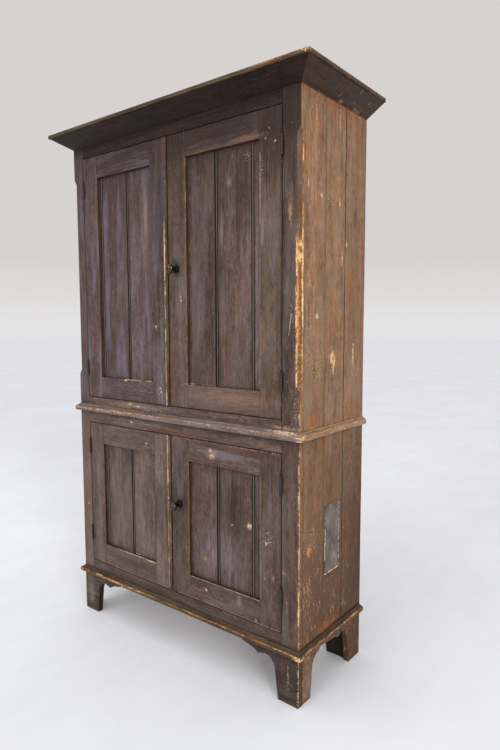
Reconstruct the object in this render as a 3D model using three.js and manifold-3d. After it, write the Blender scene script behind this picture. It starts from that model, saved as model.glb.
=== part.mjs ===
// Painted pine cupboard in two stages: two tall panelled doors over two shorter ones, a
// splayed cornice, a waist and a base moulding, and scalloped bracket feet.
// Millimetres, +Z up. The front faces -Y and +X is to the viewer's right.
// The origin is on the floor, under the middle of the whole object.
import * as THREE from 'three';
import { mergeVertices } from 'three/addons/utils/BufferGeometryUtils.js';
import Module from 'manifold-3d';

const wasm = await Module();
wasm.setup();

// Case
const caseWidth = 1165;
const caseDepth = 435;
const sideThickness = 20;
const frameThickness = 24;
const leftStileWidth = 62;
const rightStileWidth = 70;
const backThickness = 14;
const joint = 0.3;               // clearance between two pieces that touch
const overrun = 5;               // how far a cutting shape passes the face it cuts

// Heights, stacked from the floor up
const bracketHeight = 190;
const baseRailWidth = 54;
const lowerDoorHeight = 624;
const waistRailWidth = 112;
const upperDoorHeight = 1007;
const friezeWidth = 91;
const topBoardThickness = 14;

// Mouldings
const mouldingProjection = 17;
const baseMouldingHeight = 25;
const baseMouldingLap = 13;      // below the joint of bracket and base rail
const waistMouldingHeight = 30;
const waistMouldingRise = 48;    // above the waist rail's lower edge
const corniceHeight = 45;
const corniceProjection = 68;
const corniceBoardThickness = 16;
const topBoardOverhang = 6;

// Boards inside
const floorThickness = 22;
const shelfThickness = 18;
const upperShelfSpacing = 360;
const upperShelfNames = ['shelf_upper_low', 'shelf_upper_high'];
const shelfBelowPawl = 28;
const housingDepth = 6;          // groove in a side that takes the end of a board

// Doors
const doorGap = 2;               // above and below a door, and between two doors
const hingeGap = 2.4;            // between a door and the case stile that carries it
const meetingLine = -13;
const hingeStileWidth = 90;
const meetingStileWidth = 94;
const doorRailWidth = 88;
const panelThickness = 9;
const panelRecess = 11;
const panelGrooveDepth = 8;
const panelBoardWidth = 163;
const leftStripWidth = 13;       // narrow board at the hinge side of a left door
const rightStripWidth = 36;
const astragalWidth = 20;        // half-round bead on the left doors' meeting edge
const astragalHeight = 5;
const astragalSteps = 8;

// Joints between boards
const beadWidth = 9;
const grooveWidth = 3;
const grooveDepth = 2.5;
const frontSideBoardWidth = 152;
const middleSideBoardWidth = 133;
const backBoardWidth = 187;

// Stopped chamfer on the front corners of the upper stage
const chamferLeg = 14;
const chamferStop = 28;
const chamferAboveRail = 91;
const chamferBelowFriezeTop = 164;

// Hinges
const hingeLength = 64;
const barrelRadius = 4.5;
const barrelProud = 3;           // how far the hinge axis stands in front of the case
const barrelSides = 14;
const pinRadius = 2.1;
const pinBoreRadius = 2.5;
const leafThickness = 2;
const leafDepth = 19;
const leafClearance = 0.6;       // half the space between two closed leaves
const knuckleCount = 5;
const knuckleClearance = 0.4;
const upperHingeInset = 125;     // from a door's end to the middle of its hinge
const lowerTopHingeInset = 105;
const lowerBottomHingeInset = 125;

// Turn knobs with their spindles and pawls
const knobFromMeetingLine = 43;
const upperKnobRise = 518;       // above the lower edge of the door
const lowerKnobRise = 360;
const knobRadius = 19;
const knobProjection = 48;
const knobHeadThickness = 22;
const knobNeckRadius = 8;
const collarRadius = 15;
const collarThickness = 4;
const knobSides = 24;
const knobHeadSteps = 6;
const spindleRadius = 4;
const spindleBoreRadius = 4.8;
const spindleTail = 6;
const pawlThickness = 3;
const pawlWidth = 16;
const pawlReach = 58;
const pawlClearance = 1.5;

// Feet and apron
const footWidth = 84;
const sideFootWidth = 76;
const archHeight = 148;
const apronHeight = 172;
const rearBracketThickness = 20;
const rearBracketInset = 52;     // from the back of the case
const archSteps = 6;
const ankleShares = [[1, 0], [1.07, 0.3], [1.12, 0.53]];   // of foot width and arch height
const shoulderWidthShare = 1.163;
const shoulderHeightShare = 0.703;
const archTopShare = 1.69;                                 // of foot width
const scallopShares = [                                    // of foot width and apron height
  [1.86, 0.835], [2.07, 0.806], [2.21, 0.86], [2.5, 0.91], [2.83, 0.936], [2.99, 0.974], [4.07, 1],
];
const sideScallopShares = scallopShares.slice(0, 3);
const plainApronShares = [[1.9, 0.925]];

// Metal patch on the right side
const patchWidth = 101;
const patchHeight = 250;
const patchThickness = 1.6;
const patchFromFront = 162;
const patchBottom = 414;

// Profile of the planted mouldings, as shares of projection and height
const mouldingShares = [
  [0, 0], [0.78, 0], [0.94, 0.07], [1, 0.2], [1, 0.42], [0.93, 0.58], [0.76, 0.68],
  [0.6, 0.74], [0.38, 0.8], [0.2, 0.9], [0.12, 1], [0, 1],
];

// Finishes
const frontPaint = { color: 0x3d2a25, roughness: 0.62, metalness: 0 };
const sidePaint = { color: 0x6b4a35, roughness: 0.7, metalness: 0 };
const wornPaint = { color: 0x6e5238, roughness: 0.75, metalness: 0 };
const bareWood = { color: 0x8a6a48, roughness: 0.85, metalness: 0 };
const iron = { color: 0x2b2724, roughness: 0.5, metalness: 0.8 };
const zinc = { color: 0x77736e, roughness: 0.6, metalness: 0.6 };

// Places worked out from the sizes above. Y is 0 on the front of the case here.
const halfWidth = caseWidth / 2;
const insideHalfWidth = halfWidth - sideThickness;
const overallProjection = corniceProjection + topBoardOverhang;
const frontPlane = (overallProjection - caseDepth) / 2;
const backFront = caseDepth - backThickness;
const insideFront = frameThickness + joint;
const openingLeft = leftStileWidth - halfWidth;
const openingRight = halfWidth - rightStileWidth;
const baseRailTop = bracketHeight + baseRailWidth;
const lowerDoorBottom = baseRailTop + doorGap;
const lowerDoorTop = lowerDoorBottom + lowerDoorHeight;
const waistRailBottom = lowerDoorTop + doorGap;
const waistRailTop = waistRailBottom + waistRailWidth;
const upperDoorBottom = waistRailTop + doorGap;
const upperDoorTop = upperDoorBottom + upperDoorHeight;
const friezeBottom = upperDoorTop + doorGap;
const topBoardBottom = friezeBottom + friezeWidth;
const frameTop = topBoardBottom - joint;
const floorBottom = baseRailTop - floorThickness;
const panelBack = panelRecess + panelThickness;
const upperKnobHeight = upperDoorBottom + upperKnobRise;
const lowerKnobHeight = lowerDoorBottom + lowerKnobRise;
const lowerShelfTop = lowerKnobHeight - pawlReach - shelfBelowPawl;

const cupboard = new THREE.Group();
const assembly = new THREE.Group();
assembly.position.y = frontPlane;
cupboard.add(assembly);

// Shared-vertex copy of a geometry, with position alone and no collapsed triangles
function indexed(geometry) {
  const plain = new THREE.BufferGeometry();
  plain.setAttribute('position', geometry.attributes.position.clone());
  plain.setIndex(geometry.index);
  const merged = mergeVertices(plain);
  const kept = [];
  const source = merged.index.array;
  for (let i = 0; i < source.length; i += 3) {
    const [a, b, c] = [source[i], source[i + 1], source[i + 2]];
    if (a !== b && b !== c && c !== a) kept.push(a, b, c);
  }
  merged.setIndex(kept);
  return merged;
}

function turnedInsideOut(geometry) {
  const index = Array.from(geometry.index.array);
  for (let i = 0; i < index.length; i += 3) {
    [index[i + 1], index[i + 2]] = [index[i + 2], index[i + 1]];
  }
  const turned = geometry.clone();
  turned.setIndex(index);
  return turned;
}

function signedVolume(geometry) {
  const { position } = geometry.attributes;
  const index = geometry.index.array;
  const [a, b, c] = [new THREE.Vector3(), new THREE.Vector3(), new THREE.Vector3()];
  let sum = 0;
  for (let i = 0; i < index.length; i += 3) {
    a.fromBufferAttribute(position, index[i]);
    b.fromBufferAttribute(position, index[i + 1]);
    c.fromBufferAttribute(position, index[i + 2]);
    sum += a.dot(b.cross(c));
  }
  return sum;
}

// Closed geometry whose faces point outwards
function outward(geometry) {
  const closed = indexed(geometry);
  return signedVolume(closed) < 0 ? turnedInsideOut(closed) : closed;
}

function toManifold(geometry) {
  const closed = outward(geometry);
  return new wasm.Manifold(new wasm.Mesh({
    numProp: 3,
    vertProperties: new Float32Array(closed.attributes.position.array),
    triVerts: new Uint32Array(closed.index.array),
  }));
}

function fromManifold(solid) {
  const mesh = solid.getMesh();
  const geometry = new THREE.BufferGeometry();
  geometry.setAttribute('position', new THREE.BufferAttribute(mesh.vertProperties, 3));
  geometry.setIndex(new THREE.BufferAttribute(mesh.triVerts, 1));
  return geometry;
}

function cut(geometry, cutters) {
  const start = toManifold(geometry);
  return fromManifold(cutters.reduce((rest, cutter) => rest.subtract(toManifold(cutter)), start));
}

function join(geometries) {
  const [first, ...others] = geometries.map(toManifold);
  return fromManifold(others.reduce((sum, other) => sum.add(other), first));
}

function mirrored(geometry) {
  const copy = indexed(geometry);
  copy.scale(-1, 1, 1);
  return turnedInsideOut(copy);
}

// Geometry for one hand: right as it is, left mirrored
function handed(side, geometry) {
  return side > 0 ? geometry : mirrored(geometry);
}

function add(name, geometry, finish) {
  const closed = outward(geometry);
  closed.computeVertexNormals();
  const mesh = new THREE.Mesh(closed, new THREE.MeshStandardMaterial(finish));
  mesh.name = name;
  assembly.add(mesh);
}

// Box between its lowest and highest corner
function box(low, high) {
  const size = high.map((value, axis) => value - low[axis]);
  const geometry = new THREE.BoxGeometry(...size);
  geometry.translate(...low.map((value, axis) => value + size[axis] / 2));
  return geometry;
}

// Prism of an outline in X and Y, upright between two heights
function upright(outline, low, high) {
  const shape = new THREE.Shape(outline.map(([x, y]) => new THREE.Vector2(x, y)));
  const geometry = new THREE.ExtrudeGeometry(shape, { depth: high - low, bevelEnabled: false });
  geometry.translate(0, 0, low);
  return geometry;
}

// Prism of an outline in Y and Z, lying along X
function alongX(outline, low, high) {
  const geometry = upright(outline, low, high);
  geometry.rotateX(Math.PI / 2);
  geometry.rotateZ(Math.PI / 2);
  return geometry;
}

// Prism of an outline in X and Z, lying along Y
function alongY(outline, low, high) {
  const geometry = upright(outline, -high, -low);
  geometry.rotateX(Math.PI / 2);
  return geometry;
}

// Upright cylinder about an axis at x, y
function post(x, y, radius, low, high, sides) {
  const geometry = new THREE.CylinderGeometry(radius, radius, high - low, sides);
  geometry.rotateX(Math.PI / 2);
  geometry.translate(x, y, (low + high) / 2);
  return geometry;
}

// Moulding along a path of stations. A station says where a point of the profile,
// given as projection and height, comes to lie.
function moulding(profile, stations) {
  const count = profile.length;
  const points = stations.flatMap((station) => profile.flatMap(([out, z]) => station(out, z)));
  const index = [];
  for (let ring = 0; ring + 1 < stations.length; ring += 1) {
    for (let i = 0; i < count; i += 1) {
      const a = ring * count + i;
      const b = ring * count + ((i + 1) % count);
      index.push(a, b, b + count, a, b + count, a + count);
    }
  }
  const last = (stations.length - 1) * count;
  const contour = profile.map(([out, z]) => new THREE.Vector2(out, z));
  for (const [a, b, c] of THREE.ShapeUtils.triangulateShape(contour, [])) {
    index.push(c, b, a, last + a, last + b, last + c);
  }
  const geometry = new THREE.BufferGeometry();
  geometry.setAttribute('position', new THREE.Float32BufferAttribute(points, 3));
  geometry.setIndex(index);
  return geometry;
}

const leftRear = (out, z) => [-halfWidth - out, caseDepth, z];
const leftFront = (out, z) => [-halfWidth - out, -out, z];
const rightFront = (out, z) => [halfWidth + out, -out, z];
const rightRear = (out, z) => [halfWidth + out, caseDepth, z];

// Upright V-groove cutter: its mouth faces along `facing` from the point on the face
function grooveCutter([x, y], [facingX, facingY], low, high) {
  const half = grooveWidth / 2;
  const place = (along, depth) => [
    x + facingY * along - facingX * depth,
    y + facingX * along - facingY * depth,
  ];
  const mouth = half * (1 + overrun / grooveDepth);
  return upright(
    [place(-mouth, -overrun), place(mouth, -overrun), place(0, grooveDepth)],
    low - overrun,
    high + overrun,
  );
}

// Foot and apron from the outer corner inwards: distance from the corner and height
function bracketOutline(width, apronShares) {
  const ankle = ankleShares.map(([across, up]) => [width * across, archHeight * up]);
  const shoulder = [width * shoulderWidthShare, archHeight * shoulderHeightShare];
  const top = [width * archTopShare, archHeight];
  const arch = Array.from({ length: archSteps + 1 }, (_, step) => {
    const turn = (Math.PI / 2) * (step / archSteps);
    return [
      top[0] - (top[0] - shoulder[0]) * Math.cos(turn),
      shoulder[1] + (top[1] - shoulder[1]) * Math.sin(turn),
    ];
  });
  const apron = apronShares.map(([across, up]) => [width * across, apronHeight * up]);
  return [...ankle, ...arch, ...apron];
}

// Board with a foot at each end and an apron between, standing across the case
function bracketBoard(halfLength, width, top) {
  const half = bracketOutline(width, scallopShares);
  const right = half.map(([across, z]) => [halfLength - across, z]);
  const left = half.map(([across, z]) => [across - halfLength, z]).reverse();
  return [[halfLength, 0], ...right, ...left, [-halfLength, 0], [-halfLength, top], [halfLength, top]];
}

function sidePanel(housings) {
  const front = bracketOutline(sideFootWidth, plainApronShares);
  const rear = bracketOutline(footWidth, sideScallopShares)
    .map(([across, z]) => [caseDepth - across, z]).reverse();
  const outline = [
    [insideFront, 0], ...front, ...rear, [caseDepth, 0], [caseDepth, frameTop], [insideFront, frameTop],
  ];
  const frontJoint = [halfWidth, frontSideBoardWidth];
  const rearJoint = [halfWidth, frontSideBoardWidth + middleSideBoardWidth];
  const grooves = [frontJoint, rearJoint].map((place) => grooveCutter(place, [1, 0], 0, frameTop));
  const cutters = housings.map(([bottom, top]) => box(
    [insideHalfWidth - overrun, insideFront - overrun, bottom - joint],
    [insideHalfWidth + housingDepth, backFront, top + joint],
  ));
  return cut(alongX(outline, insideHalfWidth, halfWidth), [...grooves, ...cutters]);
}

// Triangular cutter for the stopped chamfer on the right front corner
function chamferCutter() {
  const low = waistRailTop + chamferAboveRail;
  const high = topBoardBottom - chamferBelowFriezeTop;
  const section = (leg, z) => {
    const edge = leg + overrun;
    return [
      halfWidth + overrun, -overrun, z,
      halfWidth + overrun, edge, z,
      halfWidth - edge, -overrun, z,
    ];
  };
  const rings = [
    section(-overrun / 2, low), section(chamferLeg, low + chamferStop),
    section(chamferLeg, high - chamferStop), section(-overrun / 2, high),
  ];
  const index = [];
  for (let ring = 0; ring + 1 < rings.length; ring += 1) {
    for (let i = 0; i < 3; i += 1) {
      const a = ring * 3 + i;
      const b = ring * 3 + ((i + 1) % 3);
      index.push(a, b, b + 3, a, b + 3, a + 3);
    }
  }
  const last = (rings.length - 1) * 3;
  index.push(2, 1, 0, last, last + 1, last + 2);
  const geometry = new THREE.BufferGeometry();
  geometry.setAttribute('position', new THREE.Float32BufferAttribute(rings.flat(), 3));
  geometry.setIndex(index);
  return geometry;
}

// Recess for a hinge on the case (toward +1) or on the door (toward -1)
function hingeRecess(axisX, toward, middle) {
  const low = middle - hingeLength / 2 - joint;
  const high = middle + hingeLength / 2 + joint;
  const inner = axisX;
  const outer = axisX + toward * (leafClearance + leafThickness + joint);
  const leaf = box(
    [Math.min(inner, outer), -overrun, low],
    [Math.max(inner, outer), leafDepth + joint, high],
  );
  const barrel = post(axisX, -barrelProud, barrelRadius + knuckleClearance, low, high, barrelSides * 2);
  return [leaf, barrel];
}

// One leaf of a hinge with its knuckles: the even ones on the case, the odd ones on the door
function hingeLeaf(axisX, toward, middle) {
  const low = middle - hingeLength / 2;
  const pitch = (hingeLength + knuckleClearance) / knuckleCount;
  const knuckleLength = pitch - knuckleClearance;
  const near = axisX + toward * leafClearance;
  const far = near + toward * leafThickness;
  const [left, right] = [Math.min(near, far), Math.max(near, far)];
  const plateFront = barrelRadius + knuckleClearance - barrelProud;
  const pieces = [box([left, plateFront, low], [right, leafDepth, low + hingeLength])];
  for (let i = toward > 0 ? 0 : 1; i < knuckleCount; i += 2) {
    const bottom = low + i * pitch;
    const top = bottom + knuckleLength;
    pieces.push(post(axisX, -barrelProud, barrelRadius, bottom, top, barrelSides));
    pieces.push(box([left, -barrelProud, bottom], [right, plateFront + leafThickness, top]));
  }
  if (toward > 0) {
    pieces.push(post(axisX, -barrelProud, pinRadius, low, low + hingeLength, barrelSides));
    return join(pieces);
  }
  const bore = post(
    axisX, -barrelProud, pinBoreRadius, low - overrun, low + hingeLength + overrun, barrelSides,
  );
  return cut(join(pieces), [bore]);
}

// Sizes of the two hands. X is measured outwards from the middle of the case, so a left
// piece is drawn on the right and then mirrored.
const hands = [
  {
    name: 'left', side: -1, opening: -openingLeft, meeting: -meetingLine,
    stileWidth: leftStileWidth, stripWidth: leftStripWidth,
  },
  {
    name: 'right', side: 1, opening: openingRight, meeting: meetingLine,
    stileWidth: rightStileWidth, stripWidth: rightStripWidth,
  },
];
const stages = [
  {
    name: 'upper', bottom: upperDoorBottom, top: upperDoorTop, knobHeight: upperKnobHeight,
    hinges: [upperDoorTop - upperHingeInset, upperDoorBottom + upperHingeInset],
  },
  {
    name: 'lower', bottom: lowerDoorBottom, top: lowerDoorTop, knobHeight: lowerKnobHeight,
    hinges: [lowerDoorTop - lowerTopHingeInset, lowerDoorBottom + lowerBottomHingeInset],
  },
];
const hingeNames = ['top', 'bottom'];

function addSides() {
  const levels = [
    [floorBottom, baseRailTop],
    [waistRailTop - floorThickness, waistRailTop],
    [lowerShelfTop - shelfThickness, lowerShelfTop],
    ...upperShelfNames.map((_, i) => {
      const top = waistRailTop + (i + 1) * upperShelfSpacing;
      return [top - shelfThickness, top];
    }),
  ];
  const names = ['floor_board', 'deck_board', 'shelf_lower', ...upperShelfNames];
  const halfLength = insideHalfWidth + housingDepth - joint;
  levels.forEach(([bottom, top], i) => {
    const low = [-halfLength, insideFront, bottom];
    add(names[i], box(low, [halfLength, backFront - joint, top]), bareWood);
  });
  for (const { name, side } of hands) {
    add(`side_${name}`, handed(side, sidePanel(levels)), sidePaint);
  }
}

function addFaceFrame() {
  for (const { name, side, opening, stileWidth } of hands) {
    const axisX = opening - hingeGap / 2;
    const recesses = stages.flatMap(({ hinges }) => hinges.flatMap(
      (middle) => hingeRecess(axisX, 1, middle),
    ));
    const low = [halfWidth - stileWidth, 0, bracketHeight];
    const stile = cut(box(low, [halfWidth, frameThickness, frameTop]), [...recesses, chamferCutter()]);
    add(`stile_${name}`, handed(side, stile), frontPaint);
  }
  const rails = [
    ['frieze_rail', friezeBottom, frameTop],
    ['waist_rail', waistRailBottom, waistRailTop],
    ['base_rail', bracketHeight, baseRailTop],
  ];
  for (const [name, bottom, top] of rails) {
    const low = [openingLeft + joint, 0, bottom];
    add(name, box(low, [openingRight - joint, frameThickness, top]), frontPaint);
  }
}

function addBase() {
  const front = bracketBoard(halfWidth, footWidth, bracketHeight - joint);
  add('front_bracket', alongY(front, 0, frameThickness), frontPaint);
  const rear = bracketBoard(insideHalfWidth - joint, footWidth, floorBottom - joint);
  const rearFace = caseDepth - rearBracketInset;
  add('rear_bracket', alongY(rear, rearFace - rearBracketThickness, rearFace), bareWood);
}

function addBack() {
  const halfLength = insideHalfWidth - joint;
  const boards = Math.round((2 * halfLength) / backBoardWidth);
  const cutters = Array.from({ length: boards - 1 }, (_, i) => {
    const x = -halfLength + ((i + 1) * 2 * halfLength) / boards;
    return grooveCutter([x, caseDepth], [0, 1], floorBottom, frameTop);
  });
  const boarding = box([-halfLength, backFront, floorBottom], [halfLength, caseDepth, frameTop]);
  add('back_boards', cut(boarding, cutters), bareWood);
}

function addTop() {
  const overall = halfWidth + overallProjection;
  add('top_board', box(
    [-overall, -overallProjection, topBoardBottom],
    [overall, caseDepth, topBoardBottom + topBoardThickness],
  ), wornPaint);
  const bottom = topBoardBottom - corniceHeight;
  const slope = Math.hypot(corniceProjection, corniceHeight);
  const profile = [
    [joint, bottom],
    [corniceProjection, topBoardBottom - joint],
    [corniceProjection - (corniceBoardThickness * slope) / corniceHeight, topBoardBottom - joint],
    [joint, bottom + (corniceBoardThickness * slope) / corniceProjection],
  ];
  const mitred = (station) => (out, z) => {
    const [x, y, height] = station(out, z);
    return [x, y + joint, height];
  };
  add('cornice_front', moulding(profile, [leftFront, rightFront]), frontPaint);
  add('cornice_left', moulding(profile, [leftRear, mitred(leftFront)]), frontPaint);
  add('cornice_right', moulding(profile, [mitred(rightFront), rightRear]), frontPaint);
}

function addMouldings() {
  const levels = [
    ['waist_moulding', waistRailBottom + waistMouldingRise, waistMouldingHeight],
    ['base_moulding', bracketHeight - baseMouldingLap, baseMouldingHeight],
  ];
  for (const [name, bottom, size] of levels) {
    const profile = mouldingShares.map(([across, up]) => [
      joint + (mouldingProjection - joint) * across, bottom + size * up,
    ]);
    add(name, moulding(profile, [leftRear, leftFront, rightFront, rightRear]), wornPaint);
  }
}

// Outline of a door stile in X and Y, with the panel groove in its inner edge
function stileOutline(outerEdge, innerEdge) {
  const grooveFloor = innerEdge + Math.sign(outerEdge - innerEdge) * panelGrooveDepth;
  return [
    [innerEdge, 0], [innerEdge, panelRecess - joint], [grooveFloor, panelRecess - joint],
    [grooveFloor, panelBack + joint], [innerEdge, panelBack + joint], [innerEdge, frameThickness],
    [outerEdge, frameThickness], [outerEdge, 0],
  ];
}

// Half-round bead standing on a meeting stile's outer edge, listed from the edge inwards
function astragal(edge) {
  const middle = edge + astragalWidth / 2;
  return Array.from({ length: astragalSteps - 1 }, (_, i) => {
    const turn = (Math.PI * (i + 1)) / astragalSteps;
    return [middle - (astragalWidth / 2) * Math.cos(turn), -astragalHeight * Math.sin(turn)];
  });
}

function meetingStile(hand, stage, outerEdge, innerEdge) {
  const outline = stileOutline(outerEdge, innerEdge);
  if (hand.side < 0) {
    const beaded = [...outline, ...astragal(outerEdge), [outerEdge + astragalWidth, 0]];
    return upright(beaded, stage.bottom, stage.top);
  }
  const bore = new THREE.CylinderGeometry(
    spindleBoreRadius, spindleBoreRadius, frameThickness + 2 * overrun, knobSides,
  );
  bore.translate(meetingLine + knobFromMeetingLine, frameThickness / 2, stage.knobHeight);
  return cut(upright(outline, stage.bottom, stage.top), [bore]);
}

// Door rail with a groove in its inner edge and a stub tenon at each end
function doorRail(left, right, outerEdge, innerEdge) {
  const direction = Math.sign(outerEdge - innerEdge);
  const grooveFloor = innerEdge + direction * panelGrooveDepth;
  const body = alongX([
    [0, innerEdge], [panelRecess - joint, innerEdge], [panelRecess - joint, grooveFloor],
    [panelBack + joint, grooveFloor], [panelBack + joint, innerEdge], [frameThickness, innerEdge],
    [frameThickness, outerEdge], [0, outerEdge],
  ], left + joint, right - joint);
  const tenonReach = panelGrooveDepth - joint;
  const [low, high] = [Math.min(grooveFloor, outerEdge), Math.max(grooveFloor, outerEdge)];
  const tenon = box([left - tenonReach, panelRecess, low], [right + tenonReach, panelBack, high]);
  return join([body, tenon]);
}

// Boarded panel: a bead with a groove on each side runs along each joint of the boards
function doorPanel(left, right, bottom, top, stripWidth) {
  const reach = panelGrooveDepth - joint;
  const joints = [right - stripWidth - panelBoardWidth, right - stripWidth];
  const groove = (x) => [
    [x - grooveWidth / 2, panelRecess],
    [x, panelRecess + grooveDepth],
    [x + grooveWidth / 2, panelRecess],
  ];
  const front = joints.flatMap((x) => [...groove(x - beadWidth / 2), ...groove(x + beadWidth / 2)]);
  const outline = [
    [left - reach, panelRecess], ...front, [right + reach, panelRecess],
    [right + reach, panelBack], [left - reach, panelBack],
  ];
  return upright(outline, bottom - reach, top + reach);
}

function addDoor(hand, stage) {
  const { side } = hand;
  const label = `${stage.name}_${hand.name}`;
  const meetingEdge = hand.meeting + doorGap / 2;
  const hingeEdge = hand.opening - hingeGap;
  const left = meetingEdge + meetingStileWidth;
  const right = hingeEdge - hingeStileWidth;
  const bottom = stage.bottom + doorRailWidth;
  const top = stage.top - doorRailWidth;
  const axisX = hand.opening - hingeGap / 2;

  const recesses = stage.hinges.flatMap((middle) => hingeRecess(axisX, -1, middle));
  const hingeStile = cut(upright(stileOutline(hingeEdge, right), stage.bottom, stage.top), recesses);
  add(`${label}_hinge_stile`, handed(side, hingeStile), frontPaint);
  const meeting = meetingStile(hand, stage, meetingEdge, left);
  add(`${label}_meeting_stile`, handed(side, meeting), frontPaint);
  add(`${label}_top_rail`, handed(side, doorRail(left, right, stage.top, top)), frontPaint);
  add(`${label}_bottom_rail`, handed(side, doorRail(left, right, stage.bottom, bottom)), frontPaint);
  const panel = doorPanel(left, right, bottom, top, hand.stripWidth);
  add(`${label}_panel`, handed(side, panel), frontPaint);
  stage.hinges.forEach((middle, i) => {
    const hinge = `${label}_${hingeNames[i]}_hinge`;
    add(`${hinge}_case_leaf`, handed(side, hingeLeaf(axisX, 1, middle)), iron);
    add(`${hinge}_door_leaf`, handed(side, hingeLeaf(axisX, -1, middle)), iron);
  });
}

// Turned knob, collar and spindle about the Y axis, with a pawl behind the door
function knob(stage) {
  const collarBack = -joint;
  const collarFront = collarBack - collarThickness;
  const headFront = -knobProjection;
  const headBack = headFront + knobHeadThickness;
  const headMiddle = (headFront + headBack) / 2;
  const pawlFront = frameThickness + pawlClearance;
  const head = Array.from({ length: knobHeadSteps + 1 }, (_, i) => {
    const turn = (Math.PI * i) / (knobHeadSteps + 1);
    return new THREE.Vector2(
      knobRadius * Math.sin(turn),
      headMiddle - (knobHeadThickness / 2) * Math.cos(turn),
    );
  });
  const profile = [
    ...head,
    new THREE.Vector2(knobNeckRadius, headBack),
    new THREE.Vector2(knobNeckRadius, collarFront),
    new THREE.Vector2(collarRadius, collarFront),
    new THREE.Vector2(collarRadius, collarBack),
    new THREE.Vector2(spindleRadius, collarBack),
    new THREE.Vector2(spindleRadius, pawlFront + pawlThickness + spindleTail),
    new THREE.Vector2(0, pawlFront + pawlThickness + spindleTail),
  ];
  const turned = new THREE.LatheGeometry(profile, knobSides);
  const pawl = box(
    [-pawlWidth / 2, pawlFront, -pawlReach],
    [pawlWidth / 2, pawlFront + pawlThickness, pawlWidth / 2],
  );
  const whole = join([turned, pawl]);
  whole.translate(meetingLine + knobFromMeetingLine, 0, stage.knobHeight);
  return whole;
}

function addPatch() {
  const face = halfWidth + joint;
  add('side_patch', box(
    [face, patchFromFront, patchBottom],
    [face + patchThickness, patchFromFront + patchWidth, patchBottom + patchHeight],
  ), zinc);
}

addSides();
addFaceFrame();
addBase();
addBack();
addTop();
addMouldings();
for (const stage of stages) {
  for (const hand of hands) addDoor(hand, stage);
  add(`${stage.name}_knob`, knob(stage), iron);
}
addPatch();

export default cupboard;
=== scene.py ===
"""Looks of an old painted jelly cupboard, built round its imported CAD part.

Lengths are in metres in the part's own frame: Z up, the front towards -Y, X to the viewer's right.
"""

import logging
import math
import random
from collections.abc import Callable, Sequence
from dataclasses import dataclass, field, replace
from enum import Enum

import bmesh
import bpy
import numpy as np
from mathutils import Matrix, Vector, noise
from mathutils.bvhtree import BVHTree


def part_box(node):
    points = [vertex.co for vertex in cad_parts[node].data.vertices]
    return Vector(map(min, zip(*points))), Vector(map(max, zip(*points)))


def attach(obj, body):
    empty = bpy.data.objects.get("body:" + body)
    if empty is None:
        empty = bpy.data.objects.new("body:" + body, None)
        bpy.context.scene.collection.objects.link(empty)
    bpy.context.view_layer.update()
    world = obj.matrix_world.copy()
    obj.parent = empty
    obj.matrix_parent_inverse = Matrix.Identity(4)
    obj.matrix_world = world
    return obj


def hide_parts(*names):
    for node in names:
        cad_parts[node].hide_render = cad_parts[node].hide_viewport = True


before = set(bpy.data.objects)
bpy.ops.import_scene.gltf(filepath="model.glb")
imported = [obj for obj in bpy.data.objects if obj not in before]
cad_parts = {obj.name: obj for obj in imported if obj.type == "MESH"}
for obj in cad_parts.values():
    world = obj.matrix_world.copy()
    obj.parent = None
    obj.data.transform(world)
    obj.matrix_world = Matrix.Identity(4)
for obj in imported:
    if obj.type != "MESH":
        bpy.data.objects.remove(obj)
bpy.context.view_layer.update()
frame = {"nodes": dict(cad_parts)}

LOG = logging.getLogger("jelly cupboard")
Colour = tuple[float, float, float, float]
Place = tuple[float, float, float]
Mark = tuple[float, float, float, float]

# The case's outer faces, and the joints between the boards of its sides.
FRONT = -0.1805
BACK = 0.2545
HALF_WIDTH = 0.5825
SIDE_JOINTS = (FRONT + 0.152, FRONT + 0.285)
# The front of the doors' panels and of the bead, and where a frame's hidden side begins.
PANEL_FACE = FRONT + 0.01
BEAD_FACE = FRONT - 0.005
BEHIND = FRONT + 0.02
# How far a mark on one face reaches into it.
MARK_DEPTH = 0.02


def tint(red: int, green: int, blue: int) -> Colour:
    """Turns a display colour of 0 to 255 into the linear colour that a shader takes.

    Args:
        red: Red as shown on a screen.
        green: Green as shown on a screen.
        blue: Blue as shown on a screen.

    Returns:
        The linear colour with full alpha.
    """
    channels = [value / 255 for value in (red, green, blue)]
    linear = [c / 12.92 if c <= 0.04045 else ((c + 0.055) / 1.055) ** 2.4 for c in channels]
    return (linear[0], linear[1], linear[2], 1.0)


class Grain(Enum):
    """The axis that the wood's grain runs along."""

    ACROSS = 0
    DEEP = 1
    UP = 2

    def stretch(self, across: float, along: float) -> Place:
        """Gives the pattern scale on each axis, in features per metre.

        Args:
            across: Scale across the grain.
            along: Scale along the grain.

        Returns:
            One scale for each axis.
        """
        return tuple(along if axis == self.value else across for axis in range(3))


class Stage(Enum):
    """The upper or the lower part of the cupboard."""

    UPPER = "upper"
    LOWER = "lower"


class Hand(Enum):
    """The side that a door hangs on."""

    LEFT = "left"
    RIGHT = "right"


class Flake(Enum):
    """What a chip or smear in the paint shows."""

    CREAM = "cream"
    WOOD = "wood"
    RUST = "rust"
    SPECKS = "specks"
    # Paler paint, and in places painted light and sheen.
    BLOOM = "bloom"
    SCUFF = "scuff"
    OLIVE = "olive"
    TAN = "tan"
    PALE = "pale"
    SHADE = "shade"


@dataclass(frozen=True)
class Scratch:
    """A thin slanting scratch."""

    start: Place
    end: Place
    width: float = 0.0016


@dataclass(frozen=True)
class Chip:
    """A chip or smear in the paint: where it is, its half sizes and what it shows."""

    place: Place
    size: Place
    flake: Flake = Flake.CREAM


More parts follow.
